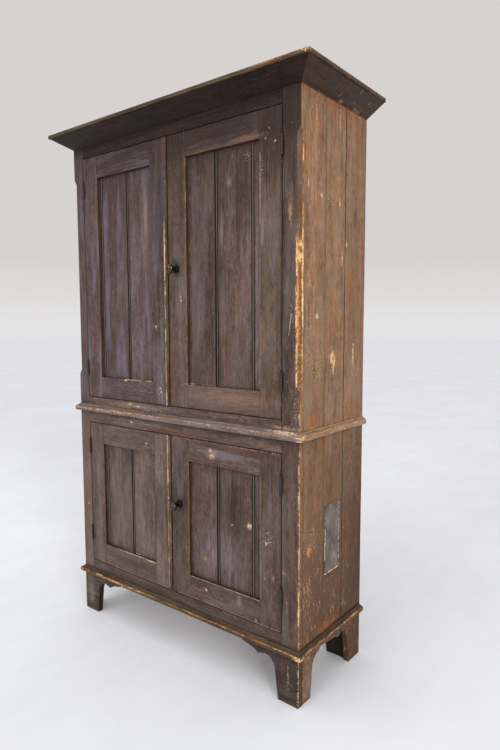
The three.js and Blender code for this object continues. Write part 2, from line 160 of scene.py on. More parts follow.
def on_front(flake: Flake, *marks: Mark, face: float = FRONT) -> tuple[Chip, ...]:
    """Makes marks on a surface that faces the front.

    Args:
        flake: What the marks show.
        *marks: The X, Z, half width and half height of each.
        face: The surface's Y.

    Returns:
        One chip for each mark.
    """
    return tuple(Chip((x, face, z), (wide, MARK_DEPTH, high), flake) for x, z, wide, high in marks)


def on_panel(flake: Flake, *marks: Mark) -> tuple[Chip, ...]:
    """Makes marks on the front of a door's panel, given as for on_front."""
    return on_front(flake, *marks, face=PANEL_FACE)


def on_side(flake: Flake, *marks: Mark) -> tuple[Chip, ...]:
    """Makes marks on the cupboard's right side.

    Args:
        flake: What the marks show.
        *marks: The Y, Z, half depth and half height of each.

    Returns:
        One chip for each mark.
    """
    return tuple(
        Chip((HALF_WIDTH, y, z), (MARK_DEPTH, deep, high), flake) for y, z, deep, high in marks
    )


class Value:
    """A socket in a node tree that can be used in arithmetic."""

    def __init__(self, bench: "Bench", socket: bpy.types.NodeSocket) -> None:
        """Wraps a socket.

        Args:
            bench: The bench whose tree holds the socket.
            socket: An output socket that carries one number.
        """
        self.bench = bench
        self.socket = socket

    def _maths(self, operation: str, *terms: "Value | float") -> "Value":
        """Adds one Math node on this bench and returns its result."""
        made = self.bench.node("ShaderNodeMath", {"operation": operation}, dict(enumerate(terms)))
        return Value(self.bench, made.outputs[0])

    def __add__(self, other: "Value | float") -> "Value":
        """Sum."""
        return self._maths("ADD", self, other)

    def __radd__(self, other: float) -> "Value":
        """Sum, reflected."""
        return self._maths("ADD", other, self)

    def __sub__(self, other: "Value | float") -> "Value":
        """Difference."""
        return self._maths("SUBTRACT", self, other)

    def __rsub__(self, other: float) -> "Value":
        """Difference, reflected."""
        return self._maths("SUBTRACT", other, self)

    def __mul__(self, other: "Value | float") -> "Value":
        """Product."""
        return self._maths("MULTIPLY", self, other)

    def __rmul__(self, other: float) -> "Value":
        """Product, reflected."""
        return self._maths("MULTIPLY", other, self)

    def higher(self, other: "Value | float") -> "Value":
        """The greater of the two."""
        return self._maths("MAXIMUM", self, other)

    def lower(self, other: "Value | float") -> "Value":
        """The smaller of the two."""
        return self._maths("MINIMUM", self, other)

    def size(self) -> "Value":
        """The value without its sign."""
        return self._maths("ABSOLUTE", self)

    def ease(self, start: float, end: float, low: float = 0.0, high: float = 1.0) -> "Value":
        """Goes smoothly from low to high as this value goes from start to end.

        Args:
            start: Where the change begins.
            end: Where it ends. It may lie below start.
            low: The result at start.
            high: The result at end.

        Returns:
            The eased value.
        """
        if start > end:
            start, end, low, high = end, start, high, low
        made = self.bench.node(
            "ShaderNodeMapRange",
            {"interpolation_type": "SMOOTHSTEP"},
            {"Value": self, "From Min": start, "From Max": end, "To Min": low, "To Max": high},
        )
        return Value(self.bench, made.outputs[0])


class Bench:
    """Lays out the nodes of one tree."""

    def __init__(self, tree: bpy.types.NodeTree) -> None:
        """Starts from an empty tree.

        Args:
            tree: The tree to fill.
        """
        self.tree = tree
        tree.nodes.clear()

    def node(
        self, kind: str, settings: dict | None = None, sockets: dict | None = None
    ) -> bpy.types.Node:
        """Adds a node, sets it, and then fills or links its sockets.

        Args:
            kind: The node's type.
            settings: Attributes to set first. "stops" fills a colour ramp.
            sockets: Values or links by socket name, identifier or number.

        Returns:
            The new node.
        """
        made = self.tree.nodes.new(kind)
        for name, value in (settings or {}).items():
            if name == "stops":
                self._fill_ramp(made.color_ramp, value)
            else:
                setattr(made, name, value)
        for name, value in (sockets or {}).items():
            self._plug(self._socket(made, name), value)
        return made

    @staticmethod
    def _fill_ramp(ramp: bpy.types.ColorRamp, stops: Sequence[tuple[float, Colour]]) -> None:
        """Sets a ramp's stops."""
        while len(ramp.elements) < len(stops):
            ramp.elements.new(1.0)
        for element, (position, colour) in zip(ramp.elements, stops):
            element.position = position
            element.color = colour

    @staticmethod
    def _socket(made: bpy.types.Node, name: str | int) -> bpy.types.NodeSocket:
        """Finds an input by number, identifier or name."""
        if isinstance(name, int):
            return made.inputs[name]
        for socket in made.inputs:
            if socket.identifier == name:
                return socket
        return made.inputs[name]

    def _plug(self, socket: bpy.types.NodeSocket, value: object) -> None:
        """Links a socket or sets its value."""
        if isinstance(value, Value):
            value = value.socket
        if isinstance(value, bpy.types.NodeSocket):
            self.tree.links.new(value, socket)
        else:
            socket.default_value = value

    def named(self, attribute: str) -> Value:
        """Reads a number that the mesh carries."""
        made = self.node("ShaderNodeAttribute", {"attribute_name": attribute})
        return Value(self, made.outputs["Fac"])

    def vector(self, operation: str, *terms: object) -> bpy.types.NodeSocket:
        """Adds a Vector Math node and returns its vector.

        Args:
            operation: The node's operation.
            *terms: Links or plain vectors.

        Returns:
            The vector output.
        """
        made = self.node("ShaderNodeVectorMath", {"operation": operation}, dict(enumerate(terms)))
        return made.outputs[0]

    def combine(self, x: object = 0.0, y: object = 0.0, z: object = 0.0) -> bpy.types.NodeSocket:
        """Makes a vector of three numbers."""
        return self.node("ShaderNodeCombineXYZ", sockets={0: x, 1: y, 2: z}).outputs[0]

    def part(self, vector: bpy.types.NodeSocket, axis: int) -> Value:
        """One of a vector's three numbers."""
        made = self.node("ShaderNodeSeparateXYZ", sockets={0: vector})
        return Value(self, made.outputs[axis])

    def length(self, vector: bpy.types.NodeSocket) -> Value:
        """The length of a vector."""
        made = self.node("ShaderNodeVectorMath", {"operation": "LENGTH"}, {0: vector})
        return Value(self, made.outputs["Value"])

    def noise(self, place: bpy.types.NodeSocket, scale: Place, detail: float = 3.0) -> Value:
        """Adds fractal noise stretched by the given scale.

        Args:
            place: The coordinates.
            scale: Features per metre on each axis.
            detail: Octaves of finer noise.

        Returns:
            A value that wanders about 0.5.
        """
        stretched = self.vector("MULTIPLY", place, scale)
        made = self.node(
            "ShaderNodeTexNoise",
            sockets={"Vector": stretched, "Scale": 1.0, "Detail": detail, "Roughness": 0.58},
        )
        return Value(self, made.outputs[0])

    def mix(self, amount: object, under: object, over: object) -> bpy.types.NodeSocket:
        """Mixes two colours.

        Args:
            amount: How much of the second colour shows.
            under: The first colour.
            over: The second colour.

        Returns:
            The mixed colour's socket.
        """
        made = self.node(
            "ShaderNodeMix",
            {"data_type": "RGBA", "blend_type": "MIX", "clamp_factor": True},
            {"Factor_Float": amount, "A_Color": under, "B_Color": over},
        )
        return made.outputs[2]

    def ramp(self, amount: Value, stops: Sequence[tuple[float, Colour]]) -> bpy.types.NodeSocket:
        """Turns a value into a colour through a ramp.

        Args:
            amount: The value.
            stops: Positions with their colours.

        Returns:
            The colour's socket.
        """
        made = self.node("ShaderNodeValToRGB", {"stops": stops}, {"Fac": amount})
        return made.outputs["Color"]

    def coordinates(self) -> bpy.types.NodeSocket:
        """The object coordinates, which are the part's own frame."""
        return self.node("ShaderNodeTexCoord").outputs["Object"]

    def board_place(self, place: bpy.types.NodeSocket, tone: Value) -> bpy.types.NodeSocket:
        """Shifts the coordinates board by board, so that neighbours differ in their pattern.

        Args:
            place: The coordinates.
            tone: The board's own number.

        Returns:
            The shifted coordinates.
        """
        return self.vector("ADD", place, self.combine(tone * 7.0, tone * 5.0, tone * 11.0))

    def away_from(self, place: bpy.types.NodeSocket, axis: int, lines: Sequence[float]) -> Value:
        """Measures how far each point lies from the nearest of some planes across one axis.

        Args:
            place: The coordinates.
            axis: The axis that the planes cut.
            lines: Where they cut it.

        Returns:
            The distance in metres.
        """
        along = self.part(place, axis)
        nearest = (along - lines[0]).size()
        for line in lines[1:]:
            nearest = nearest.lower((along - line).size())
        return nearest

    def away_from_stroke(self, place: bpy.types.NodeSocket, start: Place, end: Place) -> Value:
        """Measures how far each point lies from a straight stroke.

        Args:
            place: The coordinates.
            start: Where the stroke starts.
            end: Where it ends.

        Returns:
            The distance in metres.
        """
        way = tuple(e - b for b, e in zip(start, end))
        square = sum(c * c for c in way)
        offset = self.vector("SUBTRACT", place, start)
        product = self.node("ShaderNodeVectorMath", {"operation": "DOT_PRODUCT"}, {0: offset, 1: way})
        share = (Value(self, product.outputs["Value"]) * (1 / square)).higher(0.0).lower(1.0)
        foot = self.vector("MULTIPLY", self.combine(share, share, share), way)
        return self.length(self.vector("SUBTRACT", offset, foot))


def new_material(name: str) -> tuple[bpy.types.Material, Bench]:
    """Makes an empty material with a bench for its nodes.

    Args:
        name: The material's name.

    Returns:
        The material and the bench.
    """
    material = bpy.data.materials.new(name)
    material.use_nodes = True
    return material, Bench(material.node_tree)


def close_material(
    bench: Bench, sockets: dict, bump: Value | None = None, lift: float = 0.0
) -> None:
    """Adds the surface shader and the output.

    Args:
        bench: The material's bench.
        sockets: The surface shader's values and links.
        bump: The height of the surface's relief, from 0 to 1, where it has one.
        lift: The relief's full height.
    """
    if bump is not None:
        relief = bench.node(
            "ShaderNodeBump", sockets={"Strength": 0.6, "Distance": lift, "Height": bump}
        )
        sockets = {**sockets, "Normal": relief.outputs[0]}
    surface = bench.node("ShaderNodeBsdfPrincipled", sockets=sockets)
    bench.node("ShaderNodeOutputMaterial", sockets={"Surface": surface.outputs[0]})


@dataclass(frozen=True)
class OldPaint:
    """Old paint on pine: streaks along the grain, worn arrises, chips and grime.

    Attributes:
        dark: The paint where it is thick or dirty. middle and light are its other tones.
        bloom_and_sheen: A hazy bloom over it that also paints a sheen, as strong as
            bloom_and_sheen_share.
        warm: The primer under it, which shows through by warm_share.
        wood: The wood that the small dashes, flecks and chips show.
        cream: The palest layer, at the deepest wear.
        moss: A greenish cast, as strong as moss_share.
        flecks: How thickly the small flakes lie. dashes is the same for short strokes.
        fleck_band: Two heights and how much more flakes there are towards the second.
        painted_shades: Two heights and how much darker the paint is towards the second, as painted
            shade.
        gloss: The specular level.
        chips: The marks in the photograph's places.
        scratches: The thin scratches.
        seams: Dark joints, by their place on seam_axis.
        ridges: Beads beside the joints, rubbed pale.
    """

    dark: Colour
    middle: Colour
    light: Colour
    bloom_and_sheen: Colour
    warm: Colour
    wood: Colour = tint(154, 120, 88)
    cream: Colour = tint(206, 182, 146)
    bloom_and_sheen_share: float = 0.4
    warm_share: float = 0.3
    flecks: float = 0.5
    roughness: float = 0.5
    gloss: float = 0.2
    painted_shades: tuple[tuple[float, float, float], ...] = ()
    moss: Colour = tint(84, 77, 64)
    moss_share: float = 0.35
    dashes: float = 0.2
    fleck_band: tuple[float, float, float] = (0.0, 0.0, 0.0)
    chips: tuple[Chip, ...] = ()
    scratches: tuple[Scratch, ...] = ()
    seams: tuple[float, ...] = ()
    ridges: tuple[float, ...] = ()
    seam_axis: int = 0
    seam_width: float = 0.0022
    name: str = "old paint"
    grain: Grain = Grain.UP

    def make(self) -> bpy.types.Material:
        """Builds the material.

        Returns:
            The finished material.
        """
        material, bench = new_material(self.name)
        work = PaintWork(self, bench)
        work.coat()
        work.wear_arrises()
        work.scatter_flakes()
        work.smear()
        work.speckle()
        work.chip_off()
        work.scratch()
        work.rub_ridges()
        work.darken_with_grime_and_shade()
        work.close()
        return material


class PaintWork:
    """Lays an old paint on its bench, one step after another.

    Attributes:
        relief: The full height of the surface's relief.
    """

    # Near-black, for soiling and for painted shade in sheltered corners and gaps.
    grime_and_shade = tint(13, 7, 6)
    lavender = tint(150, 141, 148)
    olive = tint(108, 88, 60)
    tan = tint(140, 106, 84)
    scratched = tint(190, 170, 152)
    relief = 0.0011

    def __init__(self, paint: OldPaint, bench: Bench) -> None:
        """Reads what the mesh carries and lays the patterns that several steps share.

        Args:
            paint: The paint, its shares and its marks.
            bench: The material's bench.
        """
        self.paint = paint
        self.bench = bench
        self.place = bench.coordinates()
        self.height = bench.part(self.place, Grain.UP.value)
        self.tone = bench.named("tone")
        self.edge = bench.named("edge")
        self.shade_and_dirt = bench.named("shade_and_dirt")
        self.board = bench.board_place(self.place, self.tone)
        self.fine = self._grain(380.0, 16.0, 3.0)
        self.brushed = self._grain(130.0, 4.0, 4.0)
        self.patch = self._grain(10.0, 3.2, 4.0)
        self.haze = self._grain(22.0, 3.0, 5.0)
        self.blot = bench.noise(self.board, (38.0, 38.0, 30.0), 4.0)
        self.crumble = self._grain(420.0, 110.0, 3.0)
        self.gnawed = self._grain(120.0, 22.0, 3.0)
        self.ragged = self.crumble * 0.5 + self.gnawed * 0.5
        self.colour: object = paint.middle
        self.bare: Value | None = None

    def _grain(self, across: float, along: float, detail: float) -> Value:
        """Noise drawn out along the board's grain."""
        return self.bench.noise(self.board, self.paint.grain.stretch(across, along), detail)

    def _lay(self, amount: object, colour: object) -> None:
        """Lays a colour over what is there."""
        self.colour = self.bench.mix(amount, self.colour, colour)

    def _show_through(self, bare: Value) -> None:
        """Notes where the paint is gone."""
        self.bare = bare if self.bare is None else self.bare.higher(bare)

    def _chip_distance(self, flake: Flake) -> Value | None:
        """Measures how far each point lies from the ragged chips of one kind, 1 at their edge."""
        bench = self.bench
        nearest: Value | None = None
        for chip in (c for c in self.paint.chips if c.flake is flake):
            inverse = tuple(1 / s for s in chip.size)
            offset = tuple(-p / s for p, s in zip(chip.place, chip.size))
            away = bench.length(bench.vector("MULTIPLY_ADD", self.place, inverse, offset))
            nearest = away if nearest is None else nearest.lower(away)
        if nearest is None:
            return None
        if flake not in (Flake.CREAM, Flake.WOOD, Flake.RUST):
            return nearest
        coarse = bench.noise(self.place, (190.0, 190.0, 120.0), 3.0)
        small = bench.noise(self.place, (620.0, 620.0, 400.0), 3.0)
        return nearest + (coarse - 0.5) * 4.6 + (small - 0.5) * 4.2

    def coat(self) -> None:
        """Lays three tones of paint, thin places, bloom with painted sheen, open pores and painted
        shade.
        """
        paint = self.paint
        grit = self._grain(190.0, 62.0, 3.0)
        mottle = self._grain(46.0, 24.0, 5.0)
        depth = (
            self.fine * 0.13 + self.brushed * 0.19 + grit * 0.24 + mottle * 0.17
            + self.patch * 0.27 + (self.tone - 0.5) * 0.06
        )
        self.colour = self.bench.ramp(
            depth, [(0.38, paint.dark), (0.5, paint.middle), (0.62, paint.light)]
        )
        moss = self._grain(26.0, 3.4, 5.0)
        self._lay(moss.ease(0.5, 0.64) * paint.moss_share, paint.moss)
        thin = self._grain(60.0, 5.0, 5.0)
        self._lay(thin.ease(0.52, 0.68) * paint.warm_share, paint.warm)
        # A hazy bloom, partly a painted sheen.
        self._lay(self.haze.ease(0.48, 0.66) * paint.bloom_and_sheen_share, paint.bloom_and_sheen)
        pore = self._grain(700.0, 8.0, 2.0)
        self._lay(pore.ease(0.44, 0.3) * 0.3, paint.dark)
        # Painted shade: darker towards the given heights.
        for start, end, amount in paint.painted_shades:
            self._lay(self.height.ease(start, end) * amount, paint.dark)
        dash = self._grain(260.0, 26.0, 3.0) + (self.haze - 0.5) * 0.35
        self._lay(dash.ease(0.62, 0.7) * paint.dashes, paint.wood)

    def wear_arrises(self) -> None:
        """Wears the arrises through to the primer, then to wood, then to the palest layer."""
        bite = self.edge * (0.25 + self.ragged.ease(0.38, 0.62) * 1.15)
        self._lay(bite.ease(0.36, 0.56), self.paint.warm)
        self._lay(bite.ease(0.6, 0.78), self.paint.wood)
        self._lay(bite.ease(0.9, 1.06), self.paint.cream)
        self._show_through(bite.ease(0.5, 0.75))

    def scatter_flakes(self) -> None:
        """Scatters small flakes and pale crumbs."""
        fleck = self._grain(260.0, 90.0, 2.0)
        where = self.blot.ease(0.5, 0.68) * self.paint.flecks
        start, end, amount = self.paint.fleck_band
        if amount:
            where = where + self.height.ease(start, end) * amount
        loose = (fleck + where * 0.17).ease(0.77, 0.81)
        self._lay(loose * 0.8, self.paint.wood)
        crumb = self.bench.noise(self.place, (170.0, 170.0, 120.0), 2.0)
        self._lay(crumb.ease(0.735, 0.775) * 0.55, self.paint.cream)
        self._show_through(loose)

    def smear(self) -> None:
        """Lays soft smears, streaky along the grain: tints, painted light and painted shade."""
        paint = self.paint
        for flake, soft, amount in (
            (Flake.SHADE, paint.dark, 0.55), (Flake.BLOOM, paint.light, 0.42),
            (Flake.SCUFF, self.lavender, 0.34), (Flake.OLIVE, self.olive, 0.45),
            (Flake.TAN, self.tan, 0.42), (Flake.PALE, paint.cream, 0.36),
        ):
            away = self._chip_distance(flake)
            if away is not None:
                streaky = away + (self.brushed - 0.5) * 3.2 + (self.gnawed - 0.5) * 2.4
                self._lay(streaky.ease(1.5, 0.1) * amount, soft)

    def speckle(self) -> None:
        """Scatters pale dots inside the speckled patches."""
        away = self._chip_distance(Flake.SPECKS)
        if away is None:
            return
        dots = self.bench.noise(self.place, (300.0, 300.0, 190.0), 2.0)
        near = away.ease(1.25, 0.3)
        shown = (dots + near * 0.075).ease(0.66, 0.72) * near
        self._lay(shown * 0.7, self.paint.cream)
        self._show_through(shown)

    def chip_off(self) -> None:
        """Takes off the chips, with a rim of primer round the deep ones."""
        paint = self.paint
        for flake, shown, share, rim in (
            (Flake.RUST, paint.warm, 0.55, False), (Flake.WOOD, paint.wood, 0.85, True),
            (Flake.CREAM, paint.cream, 0.85, True),
        ):
            away = self._chip_distance(flake)
            if away is None:
                continue
            if rim:
                self._lay(away.ease(1.45, 1.05) * 0.6, paint.warm)
            mask = away.ease(1.0, 0.8)
            self._lay(mask * share, shown)
            self._show_through(mask)

    def scratch(self) -> None:
        """Draws the scratches, broken here and there."""
        for scratch in self.paint.scratches:
            away = self.bench.away_from_stroke(self.place, scratch.start, scratch.end)
            broken = (self.crumble - 0.5) * 2.6 + (self.gnawed - 0.5) * 4.0
            line = (away * (1 / scratch.width) + broken).ease(1.2, 0.7)
            self._lay(line * 0.5, self.scratched)

    def rub_ridges(self) -> None:
        """Rubs the beads beside the joints."""
        paint = self.paint
        if paint.ridges:
            away = self.bench.away_from(self.place, paint.seam_axis, paint.ridges)
            rubbed = away.ease(0.0036, 0.0016)
            self._lay(rubbed * 0.6, paint.light)
            self._lay(rubbed * self.ragged.ease(0.5, 0.62) * 0.6, paint.wood)

    def darken_with_grime_and_shade(self) -> None:
        """Darkens sheltered corners and gaps as soiling and painted shade, and joints and blots."""
        paint = self.paint
        # Shelter and the dark lines darken as soiling and painted shade; blots are soiling, seams
        # dark joints.
        grime_and_shade = self.shade_and_dirt * 0.85 + (1 - self.blot.ease(0.3, 0.5)) * 0.12
        if paint.seams:
            wander = (self.brushed - 0.5) * 0.002
            crack = self.bench.away_from(self.place, paint.seam_axis, paint.seams) + wander
            grime_and_shade = grime_and_shade.higher(crack.ease(paint.seam_width * 1.4, paint.seam_width * 0.8))
        self._lay(grime_and_shade, self.grime_and_shade)

    def close(self) -> None:
        """Adds gloss and relief and closes the material."""
        paint = self.paint
        rough = paint.roughness + (self.patch - 0.5) * 0.35 + self.bare * 0.2 + self.shade_and_dirt * 0.2
        relief = self.fine * 0.3 + self.brushed * 0.25 + self.blot * 0.12 - self.bare * 0.4
        close_material(
            self.bench,
            {"Base Color": self.colour, "Roughness": rough, "Specular IOR Level": paint.gloss},
            relief,
            self.relief,
        )


@dataclass(frozen=True)
class AgedPine:
    """Unpainted pine gone brown with age."""

    name: str
    grain: Grain
    pale: Colour = tint(160, 125, 86)
    brown: Colour = tint(121, 88, 58)
    late: Colour = tint(89, 62, 41)
    roughness: float = 0.72
    seams: tuple[float, ...] = ()

    def make(self) -> bpy.types.Material:
        """Builds the material.

        Returns:
            The finished material.
        """
        material, bench = new_material(self.name)
        place = bench.coordinates()
        tone = bench.named("tone")
        shade_and_dirt = bench.named("shade_and_dirt")
        board = bench.board_place(place, tone)
        stretch = self.grain.stretch
        bend = bench.noise(board, stretch(5.0, 1.6), 2.0)
        pores = bench.noise(board, stretch(520.0, 9.0), 2.0)
        rings = bench.noise(board, stretch(70.0, 1.1), 2.0)
        bands = bench.node(
            "ShaderNodeMath", {"operation": "PINGPONG"}, {0: rings * 6.0 + bend * 5.0, 1: 0.5}
        )
        grain_line = Value(bench, bands.outputs[0]) * 2.0
        colour = bench.ramp(
            grain_line * 0.42 + pores * 0.35 + tone * 0.16,
            [(0.14, self.pale), (0.46, self.brown), (0.9, self.late)],
        )
        stain = bench.noise(board, (6.0, 6.0, 4.0), 4.0)
        colour = bench.mix(stain.ease(0.48, 0.7) * 0.5, colour, self.late)
        # Sheltered places darken as soiling and painted shade; the seams are dark joints.
        grime_and_shade = shade_and_dirt * 0.75
        if self.seams:
            grime_and_shade = grime_and_shade.higher(bench.away_from(place, 0, self.seams).ease(0.003, 0.0014) * 0.92)
        colour = bench.mix(grime_and_shade, colour, tint(34, 23, 16))
        rough = self.roughness + (pores - 0.5) * 0.2
        close_material(
            bench,
            {"Base Color": colour, "Roughness": rough, "Specular IOR Level": 0.3},
            grain_line * 0.3 + pores * 0.5,
            0.0008,
        )
        return material


@dataclass(frozen=True)
class OldMetal:
    """Worn metal: dark in the hollows, rubbed bright where hands touch."""

    name: str
    dark: Colour
    rubbed: Colour
    rust: Colour
    rust_share: float = 0.4
    metallic: float = 0.85
    roughness: float = 0.4
    lacquer: float = 0.0
    scale: float = 240.0

    def make(self) -> bpy.types.Material:
        """Builds the material.

        Returns:
            The finished material.
        """
        material, bench = new_material(self.name)
        place = bench.coordinates()
        cloud = bench.noise(place, (self.scale, self.scale, self.scale), 5.0)
        pits = bench.noise(place, (self.scale * 5, self.scale * 5, self.scale * 5), 2.0)
        colour = bench.ramp(cloud, [(0.36, self.dark), (0.66, self.rubbed)])
        rusty = (cloud * 0.5 + pits * 0.5).ease(0.5, 0.62) * self.rust_share
        colour = bench.mix(rusty, colour, self.rust)
        metal = self.metallic - rusty * 0.7
        rough = self.roughness + (pits - 0.5) * 0.4 + rusty * 0.3
        close_material(
            bench,
            {
                "Base Color": colour, "Roughness": rough, "Metallic": metal,
                "Coat Weight": self.lacquer, "Coat Roughness": 0.12,
            },
            cloud * 0.4 + pits * 0.6,
            0.0004,
        )
        return material


@dataclass(frozen=True)
class PaintedZinc:
    """A thin metal patch with dull, flaking paint and pale streaks."""

    name: str = "dull painted zinc"

    def make(self) -> bpy.types.Material:
        """Builds the material.

        Returns:
            The finished material.
        """
        material, bench = new_material(self.name)
        place = bench.coordinates()
        cloud = bench.noise(place, (24.0, 24.0, 14.0), 5.0)
        scratch = bench.noise(place, (90.0, 260.0, 30.0), 3.0)
        edge = bench.named("edge")
        colour = bench.ramp(
            cloud * 0.6 + scratch * 0.4,
            [(0.38, tint(60, 49, 46)), (0.5, tint(92, 79, 74)), (0.62, tint(126, 112, 104))],
        )
        worn = bench.noise(place, (60.0, 60.0, 20.0), 4.0)
        colour = bench.mix(worn.ease(0.52, 0.64) * 0.5, colour, tint(112, 78, 56))
        crumble = bench.noise(place, (120.0, 120.0, 90.0), 4.0)
        bite = edge * (0.45 + crumble.ease(0.38, 0.62) * 0.8)
        colour = bench.mix(bite.ease(0.28, 0.5), colour, tint(204, 182, 146))
        spots = bench.noise(place, (300.0, 300.0, 300.0), 2.0).ease(0.68, 0.74)
        colour = bench.mix(spots * 0.6, colour, tint(176, 164, 140))
        rough = 0.5 + (cloud - 0.5) * 0.4
        metal = 0.25 - cloud.ease(0.45, 0.6) * 0.2
        close_material(
            bench,
            {"Base Color": colour, "Roughness": rough, "Metallic": metal},
            scratch * 0.5 + cloud * 0.5 + bite * 0.2,
            0.0012,
        )
        return material


@dataclass(frozen=True)
class PaleFloor:
    """A plain pale painted floor."""

    name: str = "pale floor"

    def make(self) -> bpy.types.Material:
        """Builds the material.

        Returns:
            The finished material.
        """
        material, bench = new_material(self.name)
        place = bench.coordinates()
        cloud = bench.noise(place, (1.4, 1.4, 1.4), 3.0)
        scuff = bench.noise(place, (9.0, 3.0, 3.0), 5.0)
        colour = bench.ramp(
            cloud * 0.6 + scuff * 0.4, [(0.35, tint(236, 240, 247)), (0.65, tint(243, 247, 254))]
        )
        rough = 0.62 + (scuff - 0.5) * 0.2
        close_material(
            bench, {"Base Color": colour, "Roughness": rough, "Specular IOR Level": 0.12}
        )
        return material


class Surroundings:
    """Every CAD surface at rest, to find joint lines and sheltered corners.

    Attributes:
        touch: How near a neighbour lies against a face.
        inset: How far inside an edge that is asked. lift is how far above the face.
        ray_lift: How far above the surface the rays of shelter start.
        gain: How strongly the closed share of the rays counts.
    """

    ray_count = 9
    touch = 0.0012
    inset = 0.0015
    lift = 0.0001
    ray_lift = 0.0004
    gain = 1.6

    def __init__(self, nodes: dict[str, bpy.types.Object]) -> None:
        """Joins the surfaces.

        Args:
            nodes: The CAD nodes by name.
        """
        places: list[Vector] = []
        faces: list[tuple[int, ...]] = []
        for source in nodes.values():
            start = len(places)
            places.extend(v.co.copy() for v in source.data.vertices)
            faces.extend(tuple(start + i for i in p.vertices) for p in source.data.polygons)
        self.tree = BVHTree.FromPolygons(places, faces)
        self.rays = self._ray_fan(self.ray_count)

    @staticmethod
    def _ray_fan(count: int) -> list[Vector]:
        """Directions spread over half a sphere about +Z."""
        turn = math.pi * (3 - math.sqrt(5))
        fan = []
        for i in range(count):
            up = 0.12 + 0.84 * (i + 0.5) / count
            out = math.sqrt(1 - up * up)
            fan.append(Vector((out * math.cos(turn * i), out * math.sin(turn * i), up)))
        return fan

    def covered(self, place: Vector, normal: Vector, outward: Vector) -> bool:
        """Tells whether a neighbour lies against the face beyond an edge.

        Args:
            place: A point on the edge.
            normal: The normal of one face of the edge.
            outward: The normal of the other face, along which the neighbour would lie.

        Returns:
            True where something lies within about a millimetre.
        """
        start = place - normal * self.inset + outward * self.lift
        return self.tree.ray_cast(start, outward, self.touch)[0] is not None

    def shelter(self, place: Vector, normal: Vector, reach: float) -> float:
        """Measures how closed in a point is.

        Args:
            place: A point on a surface.
            normal: The surface's normal there.
            reach: How far away a neighbour still counts.

        Returns:
            From 0 in the open to 1 in a deep corner.
        """
        turned = normal.to_track_quat("Z", "Y")
        start = place + normal * self.ray_lift
        closed = 0.0
        for ray in self.rays:
            hit = self.tree.ray_cast(start, turned @ ray, reach)
            if hit[0] is not None:
                closed += 1 - hit[3] / reach
        return min(1.0, self.gain * closed / len(self.rays))


@dataclass(frozen=True)
class Trace:
    """A stretch where paint has worn away, or where soiling and painted shadow darken it."""

    start: Place
    end: Place
    strength: float
    reach: float = 0.006

    @classmethod
    def upright(
        cls, x: float, bottom: float, top: float, strength: float, reach: float = 0.006,
        y: float = FRONT,
    ) -> "Trace":
        """A line that runs upwards at one X."""
        return cls((x, y, bottom), (x, y, top), strength, reach)

    @classmethod
    def level(
        cls, z: float, left: float, right: float, strength: float, reach: float = 0.006
    ) -> "Trace":
        """A line across the front at one height."""
        return cls((left, FRONT, z), (right, FRONT, z), strength, reach)

    @classmethod
    def along_side(cls, x: float, z: float, strength: float, reach: float = 0.006) -> "Trace":
        """A line along a side, from the front to the back."""
        return cls((x, FRONT, z), (x, BACK, z), strength, reach)

    def closeness(self, places: np.ndarray) -> np.ndarray:
        """How strongly each place is marked by this line.

        Args:
            places: Points, one a row.

        Returns:
            One strength for each point.
        """
        start, end = np.array(self.start), np.array(self.end)
        along = end - start
        share = np.clip((places - start) @ along / (along @ along), 0, 1)
        away = np.linalg.norm(places - start - share[:, None] * along, axis=1)
        return self.strength * np.exp(-away / self.reach)


FinishRule = Callable[[Vector, Vector], int]


@dataclass
class Board:
    """How one CAD node becomes a hand-worked board.

    Attributes:
        node: The CAD node. body is what it rides on. slot, its material slot, is not used.
        finishes: Its materials, of which rule picks one for each face.
        arris: How far its edges are eased.
        wear: How strongly paint has gone from its edges.
        joints: Where it is divided into boards, along joint_axis.
        along_step: The longest face along the grain. across_step is the same across it.
        extra: More places, by axis, where its faces are divided.
        worn_lines: Where wear has gathered. shadow_and_grime_lines darken it as soiling and painted
            shadow.
        grime_and_shade: How strongly sheltered corners darken as soiling and painted shade,
            and shade_and_grime_behind whether behind too.
    """

    node: str
    body: str
    slot: str
    finishes: list[bpy.types.Material]
    rule: FinishRule
    grain: Grain = Grain.UP
    arris: float = 0.0014
    wear: float = 0.45
    joints: tuple[float, ...] = ()
    joint_axis: int = 0
    along_step: float = 0.045
    across_step: float = 0.03
    extra: dict[int, tuple[float, ...]] = field(default_factory=dict)
    worn_lines: tuple[Trace, ...] = ()
    shadow_and_grime_lines: tuple[Trace, ...] = ()
    grime_and_shade: float = 1.0
    shade_and_grime_behind: bool = True


def merged_copy(node: str, tolerance: float = 2e-5) -> bmesh.types.BMesh:
    """Copies a CAD node's loose triangles and joins their corners.

    Args:
        node: The CAD node.
        tolerance: How far apart corners may lie.

    Returns:
        The copy.
    """
    solid = bmesh.new()
    solid.from_mesh(frame["nodes"][node].data)
    bmesh.ops.remove_doubles(solid, verts=solid.verts, dist=tolerance)
    return solid


def join_flats(solid: bmesh.types.BMesh) -> None:
    """Joins the triangles of each flat face."""
    bmesh.ops.dissolve_limit(
        solid, angle_limit=math.radians(0.4), verts=solid.verts, edges=solid.edges
    )


def smooth_mesh(solid: bmesh.types.BMesh, name: str) -> bpy.types.Mesh:
    """Gives a plain mesh with smooth faces, and frees the one that was worked on."""
    for face in solid.faces:
        face.smooth = True
    mesh = bpy.data.meshes.new(name)
    solid.to_mesh(mesh)
    solid.free()
    return mesh


def put(name: str, data: bpy.types.ID) -> bpy.types.Object:
    """Puts a new object into the scene, with its mesh, lamp or camera."""
    thing = bpy.data.objects.new(name, data)
    bpy.context.scene.collection.objects.link(thing)
    return thing


